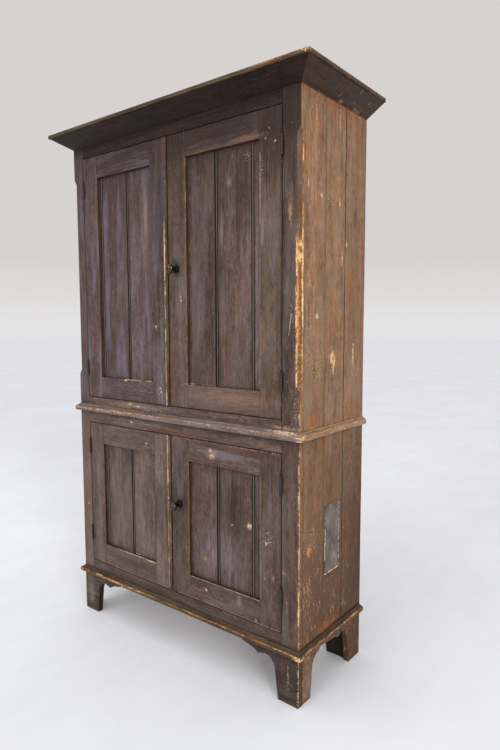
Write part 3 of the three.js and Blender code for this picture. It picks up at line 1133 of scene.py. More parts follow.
def add_piece(name: str, mesh: bpy.types.Mesh, body: str, node: str = "") -> None:
    """Adds a finished piece, fixes it to what it rides on, and hides the CAD node that it stands for.

    Args:
        name: The piece's name.
        mesh: Its mesh, in the part's frame.
        body: The CAD body that carries it.
        node: The CAD node that it replaces, if any.
    """
    piece = put(name, mesh)
    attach(piece, body)
    if node:
        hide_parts(node)
    LOG.info("%s: %d points", name, len(mesh.vertices))


class Joiner:
    """Makes hand-worked boards out of CAD nodes.

    Attributes:
        near: How far from a board's ends its faces are divided.
        wide_board: From which width on all of those are used. A thin board gets none.
        least_gap: The least distance between two cuts.
        shade_and_grime_reach: How near a neighbour darkens a point as painted shade and soiling.
            wear_reach is the arrises' own.
        patchiness: How many patches of wear lie along a metre.
        waver: How far the surface is moved, by slow_waves and quick_waves along a metre.
        seed: Fixes the pattern of that movement, which would differ from run to run.
        arris_angle: From which angle on an edge is eased. smooth_angle is what stays sharp.
    """

    near = (0.0028, 0.009, 0.022)
    wide_board = 0.06
    thin_board = 0.008
    least_gap = 0.0012
    shade_and_grime_reach = 0.034
    wear_reach = 0.0045
    patchiness = 7.0
    waver = 0.00035
    slow_waves = 5.0
    quick_waves = 28.0
    quick_share = 0.4
    seed = 7
    arris_angle = math.radians(28)
    smooth_angle = math.radians(38)

    def __init__(self, surroundings: Surroundings) -> None:
        """Keeps what the boards are set against.

        Args:
            surroundings: All CAD surfaces.
        """
        self.surroundings = surroundings
        noise.seed_set(self.seed)

    def _cuts(self, board: Board, low: float, high: float, axis: int) -> list[float]:
        """Places along one axis where a board's faces are divided."""
        length = high - low
        near = () if length <= self.thin_board else self.near[:1]
        if length > self.wide_board:
            near = self.near
        places = [low + n for n in near] + [high - n for n in near]
        step = board.along_step if axis == board.grain.value else board.across_step
        count = int(length // step)
        places += [low + length * (i + 1) / (count + 1) for i in range(count)]
        places += [p for p in board.extra.get(axis, ()) if low < p < high]
        kept: list[float] = []
        for place in sorted(places):
            if not kept or place - kept[-1] > self.least_gap:
                kept.append(place)
        return kept

    def _divide(self, solid: bmesh.types.BMesh, board: Board) -> None:
        """Cuts the board's faces along planes across each axis."""
        corners = np.array([v.co for v in solid.verts])
        for axis in range(3):
            normal = Vector([float(axis == i) for i in range(3)])
            for place in self._cuts(board, corners[:, axis].min(), corners[:, axis].max(), axis):
                bmesh.ops.bisect_plane(
                    solid,
                    geom=solid.verts[:] + solid.edges[:] + solid.faces[:],
                    dist=1e-6,
                    plane_co=normal * place,
                    plane_no=normal,
                )

    def _arrises(self, solid: bmesh.types.BMesh) -> list[bmesh.types.BMEdge]:
        """Finds the sharp outer edges that no neighbour covers."""
        found = []
        for edge in solid.edges:
            if len(edge.link_faces) != 2 or edge.calc_face_angle_signed(0.0) < self.arris_angle:
                continue
            middle = (edge.verts[0].co + edge.verts[1].co) / 2
            first, second = (f.normal for f in edge.link_faces)
            if self.surroundings.covered(middle, first, second):
                continue
            if self.surroundings.covered(middle, second, first):
                continue
            found.append(edge)
        return found

    @staticmethod
    def _distances(mesh: bpy.types.Mesh, arrises: np.ndarray) -> np.ndarray:
        """How far each corner point lies from the nearest arris."""
        if not len(arrises):
            return np.full(len(mesh.vertices), 1.0)
        starts, ends = arrises[:, 0], arrises[:, 1]
        middles = (starts + ends) / 2 + 1e-6
        corners = np.stack((starts, ends, middles), axis=1).reshape(-1, 3)
        slivers = [(3 * i, 3 * i + 1, 3 * i + 2) for i in range(len(arrises))]
        lines = BVHTree.FromPolygons([Vector(c) for c in corners], slivers)
        return np.array([lines.find_nearest(v.co)[3] for v in mesh.vertices])

    def _wear(self, places: np.ndarray, board: Board, away: np.ndarray) -> np.ndarray:
        """How far the paint has gone at each place."""
        patches = [noise.noise(Vector(p) * self.patchiness) for p in places]
        patchy = 0.75 + 0.5 * np.array(patches)
        edge = board.wear * patchy * np.exp(-away / self.wear_reach)
        for line in board.worn_lines:
            edge = np.maximum(edge, line.closeness(places))
        return edge

    def _shade_and_dirt(self, mesh: bpy.types.Mesh, places: np.ndarray, board: Board) -> np.ndarray:
        """How dark each place is: soiling and painted shade in shelter, and along the dark lines."""
        # Shelter from neighbours is painted as shade and soiling; the dark lines add painted shadow.
        shade_and_dirt = board.grime_and_shade * np.array([
            self.surroundings.shelter(v.co, v.normal, self.shade_and_grime_reach)
            if board.shade_and_grime_behind or v.normal.y < 0.5 else 0.0
            for v in mesh.vertices
        ])
        for dark_line in board.shadow_and_grime_lines:
            shade_and_dirt = np.maximum(shade_and_dirt, dark_line.closeness(places))
        return shade_and_dirt

    @staticmethod
    def _tones(places: np.ndarray, board: Board) -> np.ndarray:
        """The number of the board that each place belongs to, different for each board."""
        index = np.searchsorted(np.array(board.joints), places[:, board.joint_axis])
        seed = sum(ord(c) * (i + 1) for i, c in enumerate(board.node))
        tones = [random.Random(seed * 31 + i).random() for i in range(len(board.joints) + 1)]
        return np.array(tones)[index]

    def _attributes(self, mesh: bpy.types.Mesh, board: Board, arrises: np.ndarray) -> None:
        """Writes wear, soiling with painted shade, and board tone on each corner point."""
        places = np.zeros(len(mesh.vertices) * 3)
        mesh.vertices.foreach_get("co", places)
        places = places.reshape(-1, 3)
        for name, values in (
            ("edge", self._wear(places, board, self._distances(mesh, arrises))),
            ("shade_and_dirt", self._shade_and_dirt(mesh, places, board)),
            ("tone", self._tones(places, board)),
        ):
            layer = mesh.attributes.new(name, "FLOAT", "POINT")
            layer.data.foreach_set("value", np.asarray(values, np.float32))

    def _waver(self, mesh: bpy.types.Mesh) -> None:
        """Moves the surface a little, alike for pieces that touch."""
        for vertex in mesh.vertices:
            slow = noise.noise_vector(vertex.co * self.slow_waves)
            quick = noise.noise_vector(vertex.co * self.quick_waves)
            vertex.co += slow * self.waver + quick * (self.waver * self.quick_share)

    def finish_mesh(self, solid: bmesh.types.BMesh, board: Board, name: str) -> None:
        """Rounds, dresses and adds a board's mesh.

        Args:
            solid: The board's closed mesh. It is freed.
            board: How the board is finished.
            name: The new piece's name.
        """
        arrises = self._arrises(solid)
        lines = np.array([[e.verts[0].co[:], e.verts[1].co[:]] for e in arrises])
        bmesh.ops.bevel(
            solid, geom=arrises, offset=board.arris, segments=2, profile=0.55,
            affect="EDGES", clamp_overlap=True,
        )
        for face in solid.faces:
            face.material_index = board.rule(face.normal, face.calc_center_median())
        mesh = smooth_mesh(solid, name)
        self._attributes(mesh, board, lines)
        self._waver(mesh)
        mesh.set_sharp_from_angle(angle=self.smooth_angle)
        for finish in board.finishes:
            mesh.materials.append(finish)
        add_piece(name, mesh, board.body, board.node)

    def work(self, board: Board) -> None:
        """Makes the worked board that stands for a CAD node.

        Args:
            board: How the board is finished.
        """
        solid = merged_copy(board.node)
        join_flats(solid)
        self._divide(solid, board)
        self.finish_mesh(solid, board, f"old_{board.node}")


class GrownShape:
    """A geometry node tree with named inputs that starts from points with a direction each."""

    def __init__(self, name: str, start: str, kinds: dict[str, str]) -> None:
        """Makes the tree's sockets.

        Args:
            name: The tree's name.
            start: The label of the points that it starts from.
            kinds: The socket type of each other named input.
        """
        self.tree = bpy.data.node_groups.new(name, "GeometryNodeTree")
        face = self.tree.interface
        face.new_socket("Geometry", in_out="OUTPUT", socket_type="NodeSocketGeometry")
        face.new_socket(start, in_out="INPUT", socket_type="NodeSocketGeometry")
        self.inputs = {
            label: face.new_socket(label, in_out="INPUT", socket_type=kind).identifier
            for label, kind in kinds.items()
        }

    @staticmethod
    def _outward(bench: Bench) -> bpy.types.NodeSocket:
        """The direction that each point carries."""
        return bench.node(
            "GeometryNodeInputNamedAttribute", {"data_type": "FLOAT_VECTOR"}, {"Name": "outward"}
        ).outputs["Attribute"]

    @staticmethod
    def _end(bench: Bench, shape: bpy.types.NodeSocket, finish: bpy.types.NodeSocket) -> None:
        """Ends the tree with plain, dressed geometry."""
        real = bench.node("GeometryNodeRealizeInstances", sockets={"Geometry": shape})
        dressed = bench.node(
            "GeometryNodeSetMaterial", sockets={"Geometry": real.outputs[0], "Material": finish}
        )
        bench.node("NodeGroupOutput", sockets={0: dressed.outputs[0]})

    def grow(self, points: Sequence[tuple[Place, Place]], sizes: dict[str, object]) -> bpy.types.Mesh:
        """Runs the tree and gives its result as a plain mesh.

        Args:
            points: Each point's place and direction.
            sizes: The value of each named input.

        Returns:
            The mesh.
        """
        start = bpy.data.meshes.new("points")
        start.from_pydata([place for place, _ in points], [], [])
        layer = start.attributes.new("outward", "FLOAT_VECTOR", "POINT")
        layer.data.foreach_set("vector", [c for _, way in points for c in way])
        seedbed = put("seedbed", start)
        modifier = seedbed.modifiers.new("grow", "NODES")
        modifier.node_group = self.tree
        for label, value in sizes.items():
            modifier[self.inputs[label]] = value
        bpy.context.view_layer.update()
        grown = seedbed.evaluated_get(bpy.context.evaluated_depsgraph_get())
        mesh = bpy.data.meshes.new_from_object(grown)
        seedbed.modifiers.remove(modifier)
        bpy.data.objects.remove(seedbed)
        return mesh


class Fasteners(GrownShape):
    """Screw and nail heads, set on their surfaces by a geometry node tree."""

    def __init__(self, name: str, slotted: bool) -> None:
        """Builds the tree.

        Args:
            name: The tree's name.
            slotted: True for screws, which have a driving slot.
        """
        super().__init__(name, "Places", {
            "Head radius": "NodeSocketFloat", "Head height": "NodeSocketFloat",
            "Slot width": "NodeSocketFloat", "Metal": "NodeSocketMaterial",
        })
        self._lay_out(Bench(self.tree), slotted)

    def _lay_out(self, bench: Bench, slotted: bool) -> None:
        """Adds the nodes of the tree."""
        given = bench.node("NodeGroupInput").outputs
        radius = Value(bench, given["Head radius"])
        rise = Value(bench, given["Head height"])
        ball = bench.node(
            "GeometryNodeMeshUVSphere", sockets={"Segments": 14, "Rings": 8, "Radius": 1.0}
        )
        head = bench.node(
            "GeometryNodeTransform",
            sockets={
                "Geometry": ball.outputs["Mesh"], "Scale": bench.combine(radius, radius, rise),
            },
        ).outputs[0]
        if slotted:
            bar = bench.node(
                "GeometryNodeMeshCube",
                sockets={"Size": bench.combine(radius * 3.0, given["Slot width"], rise)},
            )
            raised = bench.node(
                "GeometryNodeTransform",
                sockets={
                    "Geometry": bar.outputs["Mesh"], "Translation": bench.combine(z=rise * 1.05),
                },
            )
            head = bench.node(
                "GeometryNodeMeshBoolean",
                {"operation": "DIFFERENCE", "solver": "EXACT"},
                {"Mesh 1": head, "Mesh 2": raised.outputs[0]},
            ).outputs["Mesh"]
        aligned = bench.node(
            "FunctionNodeAlignRotationToVector", {"axis": "Z"}, {"Vector": self._outward(bench)}
        )
        chance = bench.node(
            "FunctionNodeRandomValue", {"data_type": "FLOAT"},
            {"Max_001": 3.1, "Min_001": 0.0, "Seed": 7},
        )
        turned = bench.node(
            "FunctionNodeRotateRotation", {"rotation_space": "LOCAL"},
            {"Rotation": aligned.outputs[0], "Rotate By": bench.combine(z=chance.outputs[1])},
        )
        smooth = bench.node("GeometryNodeSetShadeSmooth", sockets={"Geometry": head})
        set_out = bench.node(
            "GeometryNodeInstanceOnPoints",
            sockets={
                "Points": given["Places"], "Instance": smooth.outputs[0],
                "Rotation": turned.outputs[0],
            },
        )
        self._end(bench, set_out.outputs[0], given["Metal"])

    def drive(
        self, name: str, body: str, heads: Sequence[tuple[Place, Place]], sizes: dict[str, object]
    ) -> None:
        """Sets heads at their places and makes them one iron piece.

        Args:
            name: The new piece's name.
            body: The CAD body that carries the heads.
            heads: Each head's place and outward direction.
            sizes: Values of the tree's named inputs.
        """
        mesh = self.grow(heads, sizes)
        mesh.name = name
        add_piece(name, mesh, body)


class MouldingRun(GrownShape):
    """A profile carried round the case by a geometry node tree, mitred at the corners."""

    def __init__(self) -> None:
        """Builds the tree, which lays a grid of stations by profile points."""
        super().__init__("run of moulding", "Stations", {
            "Profile": "NodeSocketObject", "Station count": "NodeSocketInt",
            "Profile count": "NodeSocketInt", "Finish": "NodeSocketMaterial",
        })
        self._lay_out(Bench(self.tree))

    def _lay_out(self, bench: Bench) -> None:
        """Adds the nodes of the tree."""
        given = bench.node("NodeGroupInput").outputs
        profile = bench.node("GeometryNodeObjectInfo", sockets={"Object": given["Profile"]})
        grid = bench.node(
            "GeometryNodeMeshGrid",
            sockets={"Vertices X": given["Station count"], "Vertices Y": given["Profile count"]},
        )
        index = Value(bench, bench.node("GeometryNodeInputIndex").outputs[0])
        across = given["Profile count"]
        station_share = bench.node("ShaderNodeMath", {"operation": "DIVIDE"}, {0: index, 1: across})
        station = bench.node("ShaderNodeMath", {"operation": "FLOOR"}, {0: station_share.outputs[0]})
        point = bench.node("ShaderNodeMath", {"operation": "MODULO"}, {0: index, 1: across})
        here = bench.node("GeometryNodeInputPosition")
        foot, outward, shape = (
            bench.node(
                "GeometryNodeSampleIndex", {"data_type": "FLOAT_VECTOR", "domain": "POINT"},
                {"Geometry": source, "Value": what, "Index": which},
            ).outputs[0]
            for source, what, which in (
                (given["Stations"], here.outputs[0], station.outputs[0]),
                (given["Stations"], self._outward(bench), station.outputs[0]),
                (profile.outputs["Geometry"], here.outputs[0], point.outputs[0]),
            )
        )
        pushed = bench.node(
            "ShaderNodeVectorMath", {"operation": "SCALE"},
            {0: outward, "Scale": bench.part(shape, 0)},
        )
        raised = bench.combine(z=bench.part(shape, 2))
        out = bench.vector("ADD", foot, pushed.outputs[0])
        moved = bench.node(
            "GeometryNodeSetPosition",
            sockets={"Geometry": grid.outputs["Mesh"], "Position": bench.vector("ADD", out, raised)},
        )
        self._end(bench, moved.outputs[0], given["Finish"])

    def carry(
        self, stations: Sequence[tuple[Place, Place]], profile: Sequence[tuple[float, float]],
        finish: bpy.types.Material,
    ) -> bmesh.types.BMesh:
        """Carries a closed profile along stations.

        Args:
            stations: Each station's foot and its outward direction, longer at a mitre.
            profile: Projection and height of each point. The last point repeats the first.
            finish: The material that the tree sets.

        Returns:
            The closed mesh.
        """
        outline = bpy.data.meshes.new("profile")
        outline.from_pydata([(out, 0.0, up) for out, up in profile], [], [])
        drawn = put("profile", outline)
        mesh = self.grow(stations, {
            "Profile": drawn, "Station count": len(stations), "Profile count": len(profile),
            "Finish": finish,
        })
        bpy.data.objects.remove(drawn)
        solid = bmesh.new()
        solid.from_mesh(mesh)
        bmesh.ops.remove_doubles(solid, verts=solid.verts, dist=1e-5)
        bmesh.ops.holes_fill(solid, edges=solid.edges[:], sides=0)
        bmesh.ops.recalc_face_normals(solid, faces=solid.faces)
        return solid


class Paint(Enum):
    """The paints of the cupboard's faces, as worn there."""

    # Slate-purple, on the upper left door, with painted shade towards the top.
    UPPER_LEFT = OldPaint(
        tint(40, 28, 25), tint(76, 60, 56), tint(112, 95, 93), bloom_and_sheen=tint(108, 102, 116),
        warm=tint(98, 64, 48), warm_share=0.33, bloom_and_sheen_share=0.55, roughness=0.44,
        painted_shades=((1.55, 1.98, 0.35),),
    )
    # Lighter and browner, on the lower left door.
    LOWER_LEFT = OldPaint(
        tint(46, 33, 29), tint(87, 69, 62), tint(124, 105, 96), bloom_and_sheen=tint(109, 97, 97),
        warm=tint(102, 70, 54), warm_share=0.35, bloom_and_sheen_share=0.45, roughness=0.45,
    )
    # Brown, on the right doors and the face frame, with painted shade towards the top.
    RIGHT = OldPaint(
        tint(40, 27, 22), tint(78, 59, 51), tint(116, 95, 84), bloom_and_sheen=tint(102, 91, 95),
        warm=tint(100, 68, 52), warm_share=0.35, bloom_and_sheen_share=0.5, roughness=0.46,
        painted_shades=((1.55, 1.98, 0.4), (1.84, 1.93, 0.58)),
    )
    # Olive and orange-brown, on the inner edges of the doors' frames.
    REVEAL = OldPaint(
        tint(34, 21, 14), tint(66, 45, 30), tint(104, 78, 50), bloom_and_sheen=tint(88, 70, 42),
        warm=tint(96, 58, 38), wood=tint(140, 110, 74), warm_share=0.4, roughness=0.55,
    )
    # Much worn, on the bead between the doors, with painted shade towards the top.
    BEAD = OldPaint(
        tint(34, 22, 16), tint(66, 45, 33), tint(104, 78, 58), bloom_and_sheen=tint(98, 80, 50),
        warm=tint(112, 72, 52), wood=tint(168, 132, 104), cream=tint(212, 190, 164),
        warm_share=0.5, bloom_and_sheen_share=0.5, flecks=1.3, dashes=0.4, gloss=0.25,
        painted_shades=((1.6, 1.95, 0.5),),
    )
    # Tan, worn to yellow wood, on the stopped chamfers.
    CHAMFER = OldPaint(
        tint(60, 42, 30), tint(104, 78, 58), tint(140, 110, 82), bloom_and_sheen=tint(120, 106, 92),
        warm=tint(150, 92, 48), wood=tint(206, 146, 82), cream=tint(228, 190, 130),
        warm_share=0.5, bloom_and_sheen_share=0.3, flecks=1.4, dashes=0.6, roughness=0.55,
    )
    # Thin and tan-brown, on the sides, darker below the waist and with painted shade towards the
    # bottom.
    SIDE = OldPaint(
        tint(84, 58, 39), tint(138, 103, 75), tint(178, 142, 110), bloom_and_sheen=tint(146, 122, 108),
        warm=tint(164, 104, 62), cream=tint(222, 194, 150), wood=tint(192, 142, 92),
        moss=tint(124, 112, 86), moss_share=0.6, warm_share=0.55, bloom_and_sheen_share=0.5, flecks=1.0,
        dashes=0.6, roughness=0.56, painted_shades=((0.955, 0.92, 0.22), (1.0, 0.25, 0.8)),
        fleck_band=(0.7, 0.15, 0.75), seams=SIDE_JOINTS[1:], seam_axis=1, seam_width=0.0016,
    )
    # Purple-brown, worn to cream on its nose, on the front of the waist moulding.
    WAIST = OldPaint(
        tint(57, 44, 40), tint(96, 80, 75), tint(129, 113, 108), bloom_and_sheen=tint(128, 119, 124),
        warm=tint(130, 92, 72), wood=tint(170, 142, 116), cream=tint(208, 188, 156),
        warm_share=0.35, bloom_and_sheen_share=0.5, flecks=1.0, dashes=0.25,
    )
    # Tan and much worn, on the sides of the waist moulding.
    WAIST_SIDE = OldPaint(
        tint(82, 60, 46), tint(132, 104, 80), tint(172, 142, 112), bloom_and_sheen=tint(150, 134, 106),
        warm=tint(146, 94, 66), wood=tint(190, 152, 108), cream=tint(216, 190, 148),
        warm_share=0.5, bloom_and_sheen_share=0.5, flecks=1.4, dashes=0.6, roughness=0.55,
    )
    # Dark olive, on the base moulding and the top board's edge.
    BASE = OldPaint(
        tint(36, 28, 20), tint(64, 51, 37), tint(94, 78, 58), bloom_and_sheen=tint(96, 88, 66),
        warm=tint(122, 78, 46), wood=tint(158, 116, 74), cream=tint(198, 170, 126),
        warm_share=0.5, bloom_and_sheen_share=0.3, flecks=1.1, roughness=0.55, dashes=0.3,
    )
    # The darkest brown, on the frieze and the front of the cornice; on the frieze it is painted shade
    # under the cornice.
    CORNICE = OldPaint(
        tint(18, 10, 7), tint(34, 22, 17), tint(53, 37, 29), bloom_and_sheen=tint(54, 40, 34),
        warm=tint(74, 44, 27), gloss=0.16, moss=tint(44, 34, 24), moss_share=0.2,
        dashes=0.08, flecks=0.25, roughness=0.52,
    )
    # Browner, on the sides of the cornice.
    CORNICE_SIDE = OldPaint(
        tint(34, 23, 16), tint(58, 41, 29), tint(80, 61, 44), bloom_and_sheen=tint(70, 60, 46),
        warm=tint(96, 60, 34), flecks=0.6, moss=tint(58, 48, 34), moss_share=0.3,
        dashes=0.1, roughness=0.55,
    )
    # Dark and speckled, on the front feet and apron.
    BRACKET = OldPaint(
        tint(21, 14, 12), tint(42, 30, 26), tint(66, 51, 45), bloom_and_sheen=tint(84, 74, 70),
        warm=tint(98, 60, 38), flecks=0.9, gloss=0.25, moss=tint(52, 42, 32), dashes=0.15,
    )
    # Nearly black painted shade, on the rear feet and on the front brackets' inner and lower cut
    # faces.
    REAR_FOOT = OldPaint(
        tint(12, 8, 7), tint(23, 17, 13), tint(38, 29, 23), bloom_and_sheen=tint(40, 33, 29),
        warm=tint(70, 42, 24), moss=tint(34, 28, 20), dashes=0.1,
    )

    def on(self, name: str, grain: Grain, **marks: object) -> bpy.types.Material:
        """Makes the paint as it is on some boards.

        Args:
            name: The material's name.
            grain: The way that the boards' grain runs.
            **marks: The chips, scratches, seams or ridges of those boards.

        Returns:
            The finished material.
        """
        return replace(self.value, name=name, grain=grain, **marks).make()


def gap_shadow_lines() -> tuple[Trace, ...]:
    """Painted shadow in the gaps round the four doors, strongest where two meet and at the right
    hinges.
    """
    hinges, meeting = 0.5111, -0.0125
    lines = []
    for bottom, top in ((0.245, 0.871), (0.985, 1.994)):
        for left, right in ((-0.5191, -0.014), (-0.013, hinges)):
            corners = ((left, bottom), (right, bottom), (right, top), (left, top), (left, bottom))
            for (x0, z0), (x1, z1) in zip(corners, corners[1:]):
                lines.append(Trace((x0, FRONT, z0), (x1, FRONT, z1), 1.15, 0.0015))
        lines.append(Trace.upright(meeting, bottom, top, 1.3, 0.0026))
        lines.append(Trace.upright(hinges, bottom, top, 1.2, 0.0022))
    return tuple(lines)


def faces_back(normal: Vector) -> bool:
    """Tells whether a face looks towards the back."""
    return normal.y > 0.5


def outward(normal: Vector, centre: Vector) -> float:
    """How far a face looks away from the middle of the cupboard, from -1 to 1."""
    return normal.x * math.copysign(1.0, centre.x)


def outside_only(normal: Vector, centre: Vector) -> int:
    """Paint on the front and on the edges, bare wood behind."""
    return 1 if faces_back(normal) and centre.y > BEHIND else 0


def side_rule(normal: Vector, centre: Vector) -> int:
    """Paint on the outer face and the cut edges, bare wood inside."""
    above_feet = centre.z > 0.19
    return 1 if outward(normal, centre) < -0.5 or faces_back(normal) and above_feet else 0


def stile_rule(normal: Vector, centre: Vector) -> int:
    """Front paint, bare wood behind, side paint outside, and the chamfer's own paint."""
    if outside_only(normal, centre):
        return 1
    if outward(normal, centre) > 0.85:
        return 2
    return 3 if outward(normal, centre) > 0.3 and normal.y < -0.3 else 0


def frame_rule(normal: Vector, centre: Vector) -> int:
    """Door paint, bare wood behind, the opening's inner edges, and the bead between the doors."""
    if outside_only(normal, centre):
        return 1
    on_bead = centre.y < FRONT - 0.0008
    if on_bead:
        return 3 if normal.x < 0.6 else 2
    in_opening = -0.5 < centre.x < 0.48 and abs(centre.x) > 0.03
    before_panel = centre.y < FRONT + 0.012
    return 2 if in_opening and before_panel and normal.y > -0.35 else 0


def bracket_rule(normal: Vector, centre: Vector) -> int:
    """Paint in front, bare wood behind, and near-black painted shade on the cut faces that look
    inward or down.
    """
    if outside_only(normal, centre):
        return 1
    cut = outward(normal, centre) < -0.4 or normal.z < -0.3
    return 2 if cut and normal.y > -0.35 else 0


def back_bare(normal: Vector, centre: Vector) -> int:
    """Paint everywhere but behind."""
    return 1 if faces_back(normal) else 0


def top_rule(normal: Vector, centre: Vector) -> int:
    """Paint on the edges and below, dusty wood on top."""
    return 1 if normal.z > 0.5 else 0


def first_only(normal: Vector, centre: Vector) -> int:
    """One finish all over."""
    return 0


def arms_rule(normal: Vector, centre: Vector) -> int:
    """One finish along the front and the other along the sides."""
    behind_mitre = centre.y > FRONT - 0.002
    return 1 if abs(centre.x) > HALF_WIDTH and behind_mitre else 0


@dataclass
class Case:
    """The case: sides, face frame, base, back, shelves, top and cornice."""

    joiner: Joiner
    back_joints: tuple[float, ...] = tuple(-0.5622 + 0.1874 * (i + 1) for i in range(5))

    def build(self) -> None:
        """Makes every board of the case."""
        self._sides()
        self._face_frame()
        self._base()
        self._inside()
        self._top()

    def _sides(self) -> None:
        """The two boarded sides."""
        bare = AgedPine("aged pine inside", Grain.UP).make()
        chips = (
            *on_side(
                Flake.CREAM, (0.022, 1.185, 0.014, 0.02), (0.032, 1.162, 0.009, 0.026),
                (0.173, 1.19, 0.005, 0.03), (-0.055, 1.72, 0.006, 0.006),
                (0.064, 1.715, 0.004, 0.009), (-0.135, 1.745, 0.003, 0.012),
                (0.085, 1.53, 0.003, 0.02), (0.115, 1.58, 0.004, 0.005),
                (-0.08, 1.326, 0.006, 0.008),
            ),
            *on_side(
                Flake.WOOD, (0.173, 1.155, 0.006, 0.014), (-0.09, 1.965, 0.005, 0.05),
                (0.06, 1.98, 0.006, 0.045), (-0.1, 1.52, 0.003, 0.04), (-0.1, 1.36, 0.003, 0.06),
                (-0.12, 0.535, 0.009, 0.016),
            ),
            *on_side(
                Flake.SPECKS, (0.02, 1.125, 0.03, 0.024), (0.1, 1.27, 0.03, 0.02),
                (-0.13, 1.3, 0.03, 0.3), (-0.08, 1.15, 0.05, 0.12), (0.0, 1.72, 0.05, 0.04),
                (-0.1, 0.57, 0.06, 0.08), (-0.13, 0.4, 0.04, 0.1),
            ),
            *on_side(
                Flake.RUST, (-0.13, 1.325, 0.006, 0.012), (-0.115, 1.93, 0.004, 0.035),
                (0.02, 2.02, 0.016, 0.03), (0.1, 1.99, 0.012, 0.03), (0.15, 1.45, 0.02, 0.07),
                (-0.08, 0.56, 0.006, 0.01), (-0.1, 0.985, 0.045, 0.016), (0.19, 0.99, 0.025, 0.02),
                (0.22, 0.47, 0.01, 0.012), (0.0, 0.22, 0.06, 0.02),
            ),
            *on_side(Flake.SCUFF, (-0.125, 1.285, 0.008, 0.018), (-0.12, 0.06, 0.04, 0.06)),
            *on_side(
                Flake.SHADE, (0.09, 1.25, 0.02, 0.008), (0.22, 0.35, 0.09, 0.3),
                (-0.02, 0.25, 0.05, 0.16), (0.02, 0.75, 0.03, 0.12),
            ),
            *on_side(Flake.OLIVE, (-0.13, 0.07, 0.08, 0.12)),
            *on_side(Flake.WOOD, *((y, z, 0.0022, 0.008) for y, z in (
                (-0.171, 0.424), (-0.149, 0.405), (-0.12, 0.401), (-0.046, 0.325), (-0.151, 0.349),
                (-0.061, 0.446), (0.041, 0.275), (0.03, 0.26), (-0.026, 0.213), (-0.098, 0.254),
            ))),
        )
        for name, sign in (("side_left", -1), ("side_right", 1)):
            paint = Paint.SIDE.on(f"{name} paint", Grain.UP, chips=chips if sign > 0 else ())
            corner = sign * HALF_WIDTH
            self.joiner.work(Board(
                name, "case", "side_paint", [paint, bare], side_rule,
                joints=SIDE_JOINTS, joint_axis=1, wear=0.55, along_step=0.04,
                across_step=0.02,
                extra={2: (
                    0.169, 0.1755, 0.2, 0.215, 0.909, 0.9155, 0.9185, 0.953, 0.966, 2.01, 2.035,
                )},
                # Painted shadow under the waist and base mouldings; the side is also darkened towards
                # its back edge and low at the rear.
                shadow_and_grime_lines=(
                    Trace.along_side(corner, 0.9195, 1.15, 0.0035),
                    Trace.along_side(corner, 0.1768, 1.0, 0.0035),
                    Trace((corner, BACK, 0.0), (corner, BACK, 0.85), 0.55, 0.16),
                    Trace((corner, BACK, 1.0), (corner, BACK, 2.0), 0.28, 0.09),
                    Trace((corner, 0.04, 0.2), (corner, 0.2, 0.2), 0.4, 0.1),
                ),
                worn_lines=(
                    Trace((corner, BACK, 0.0), (corner, BACK, 0.9), 0.8),
                    Trace((corner, FRONT + 0.03, 2.03), (corner, BACK, 2.03), 0.75, 0.02),
                    Trace((corner, FRONT + 0.03, 0.955), (corner, BACK, 0.955), 0.7, 0.02),
                ),
            ))

    def _face_frame(self) -> None:
        """Stiles and rails of the face frame."""
        bare = AgedPine("aged pine behind the frame", Grain.UP).make()
        stile_chips = (
            *on_front(
                Flake.WOOD, (0.543, 1.66, 0.006, 0.03), (0.534, 0.36, 0.0015, 0.01),
                (0.52, 0.46, 0.004, 0.008),
            ),
            *on_front(Flake.TAN, (0.545, 1.67, 0.012, 0.06)),
            *on_front(Flake.PALE, (0.535, 0.957, 0.06, 0.008)),
            *on_front(Flake.SHADE, (0.545, 1.97, 0.05, 0.2)),
            *on_front(Flake.BLOOM, (0.55, 0.6, 0.016, 0.14)),
            *on_front(Flake.SPECKS, (0.566, 1.03, 0.012, 0.08), (0.55, 1.32, 0.012, 0.1)),
        )
        chamfer_chips = (
            Chip((0.574, FRONT + 0.006, 1.515), (0.012, 0.012, 0.016)),
            Chip((0.577, FRONT + 0.009, 1.555), (0.005, 0.005, 0.012)),
            Chip((0.571, FRONT + 0.002, 1.31), (0.005, 0.005, 0.08), Flake.WOOD),
            Chip((0.571, FRONT + 0.002, 1.40), (0.004, 0.004, 0.03), Flake.WOOD),
            Chip((0.575, FRONT + 0.007, 1.16), (0.02, 0.02, 0.12), Flake.SPECKS),
            Chip((0.58, FRONT + 0.01, 1.0), (0.015, 0.015, 0.1), Flake.SPECKS),
            Chip((0.575, FRONT + 0.007, 1.54), (0.012, 0.012, 0.05), Flake.SPECKS),
        )
        scratch = Scratch((0.548, FRONT, 1.335), (0.538, FRONT, 1.265))
        corner_lines = (
            Trace.upright(HALF_WIDTH, 0.2, 0.92, 1.08, 0.0085),
            Trace.upright(HALF_WIDTH, 0.2, 0.4, 1.35, 0.005),
            Trace.upright(0.5685, 1.27, 1.58, 1.35, 0.0055),
            Trace.upright(HALF_WIDTH, 1.26, 1.6, 1.4, 0.005, y=FRONT + 0.014),
            Trace.upright(0.5685, 1.08, 1.27, 1.0, 0.005),
            Trace.upright(HALF_WIDTH, 1.05, 1.9, 0.8, 0.004, y=FRONT + 0.014),
            Trace((HALF_WIDTH, FRONT, 0.96), (0.575, FRONT + 0.006, 1.09), 1.1, 0.007),
        )
        left = Paint.UPPER_LEFT.on("left stile paint", Grain.UP, chips=(
            *on_front(Flake.OLIVE, (-0.55, 0.45, 0.06, 0.5)),
            *on_front(Flake.CREAM, (-0.543, 0.497, 0.008, 0.002)),
        ))
        tan = Paint.SIDE.on("stile side paint", Grain.UP)
        edge = Paint.CHAMFER.on("chamfer paint", Grain.UP, chips=chamfer_chips)
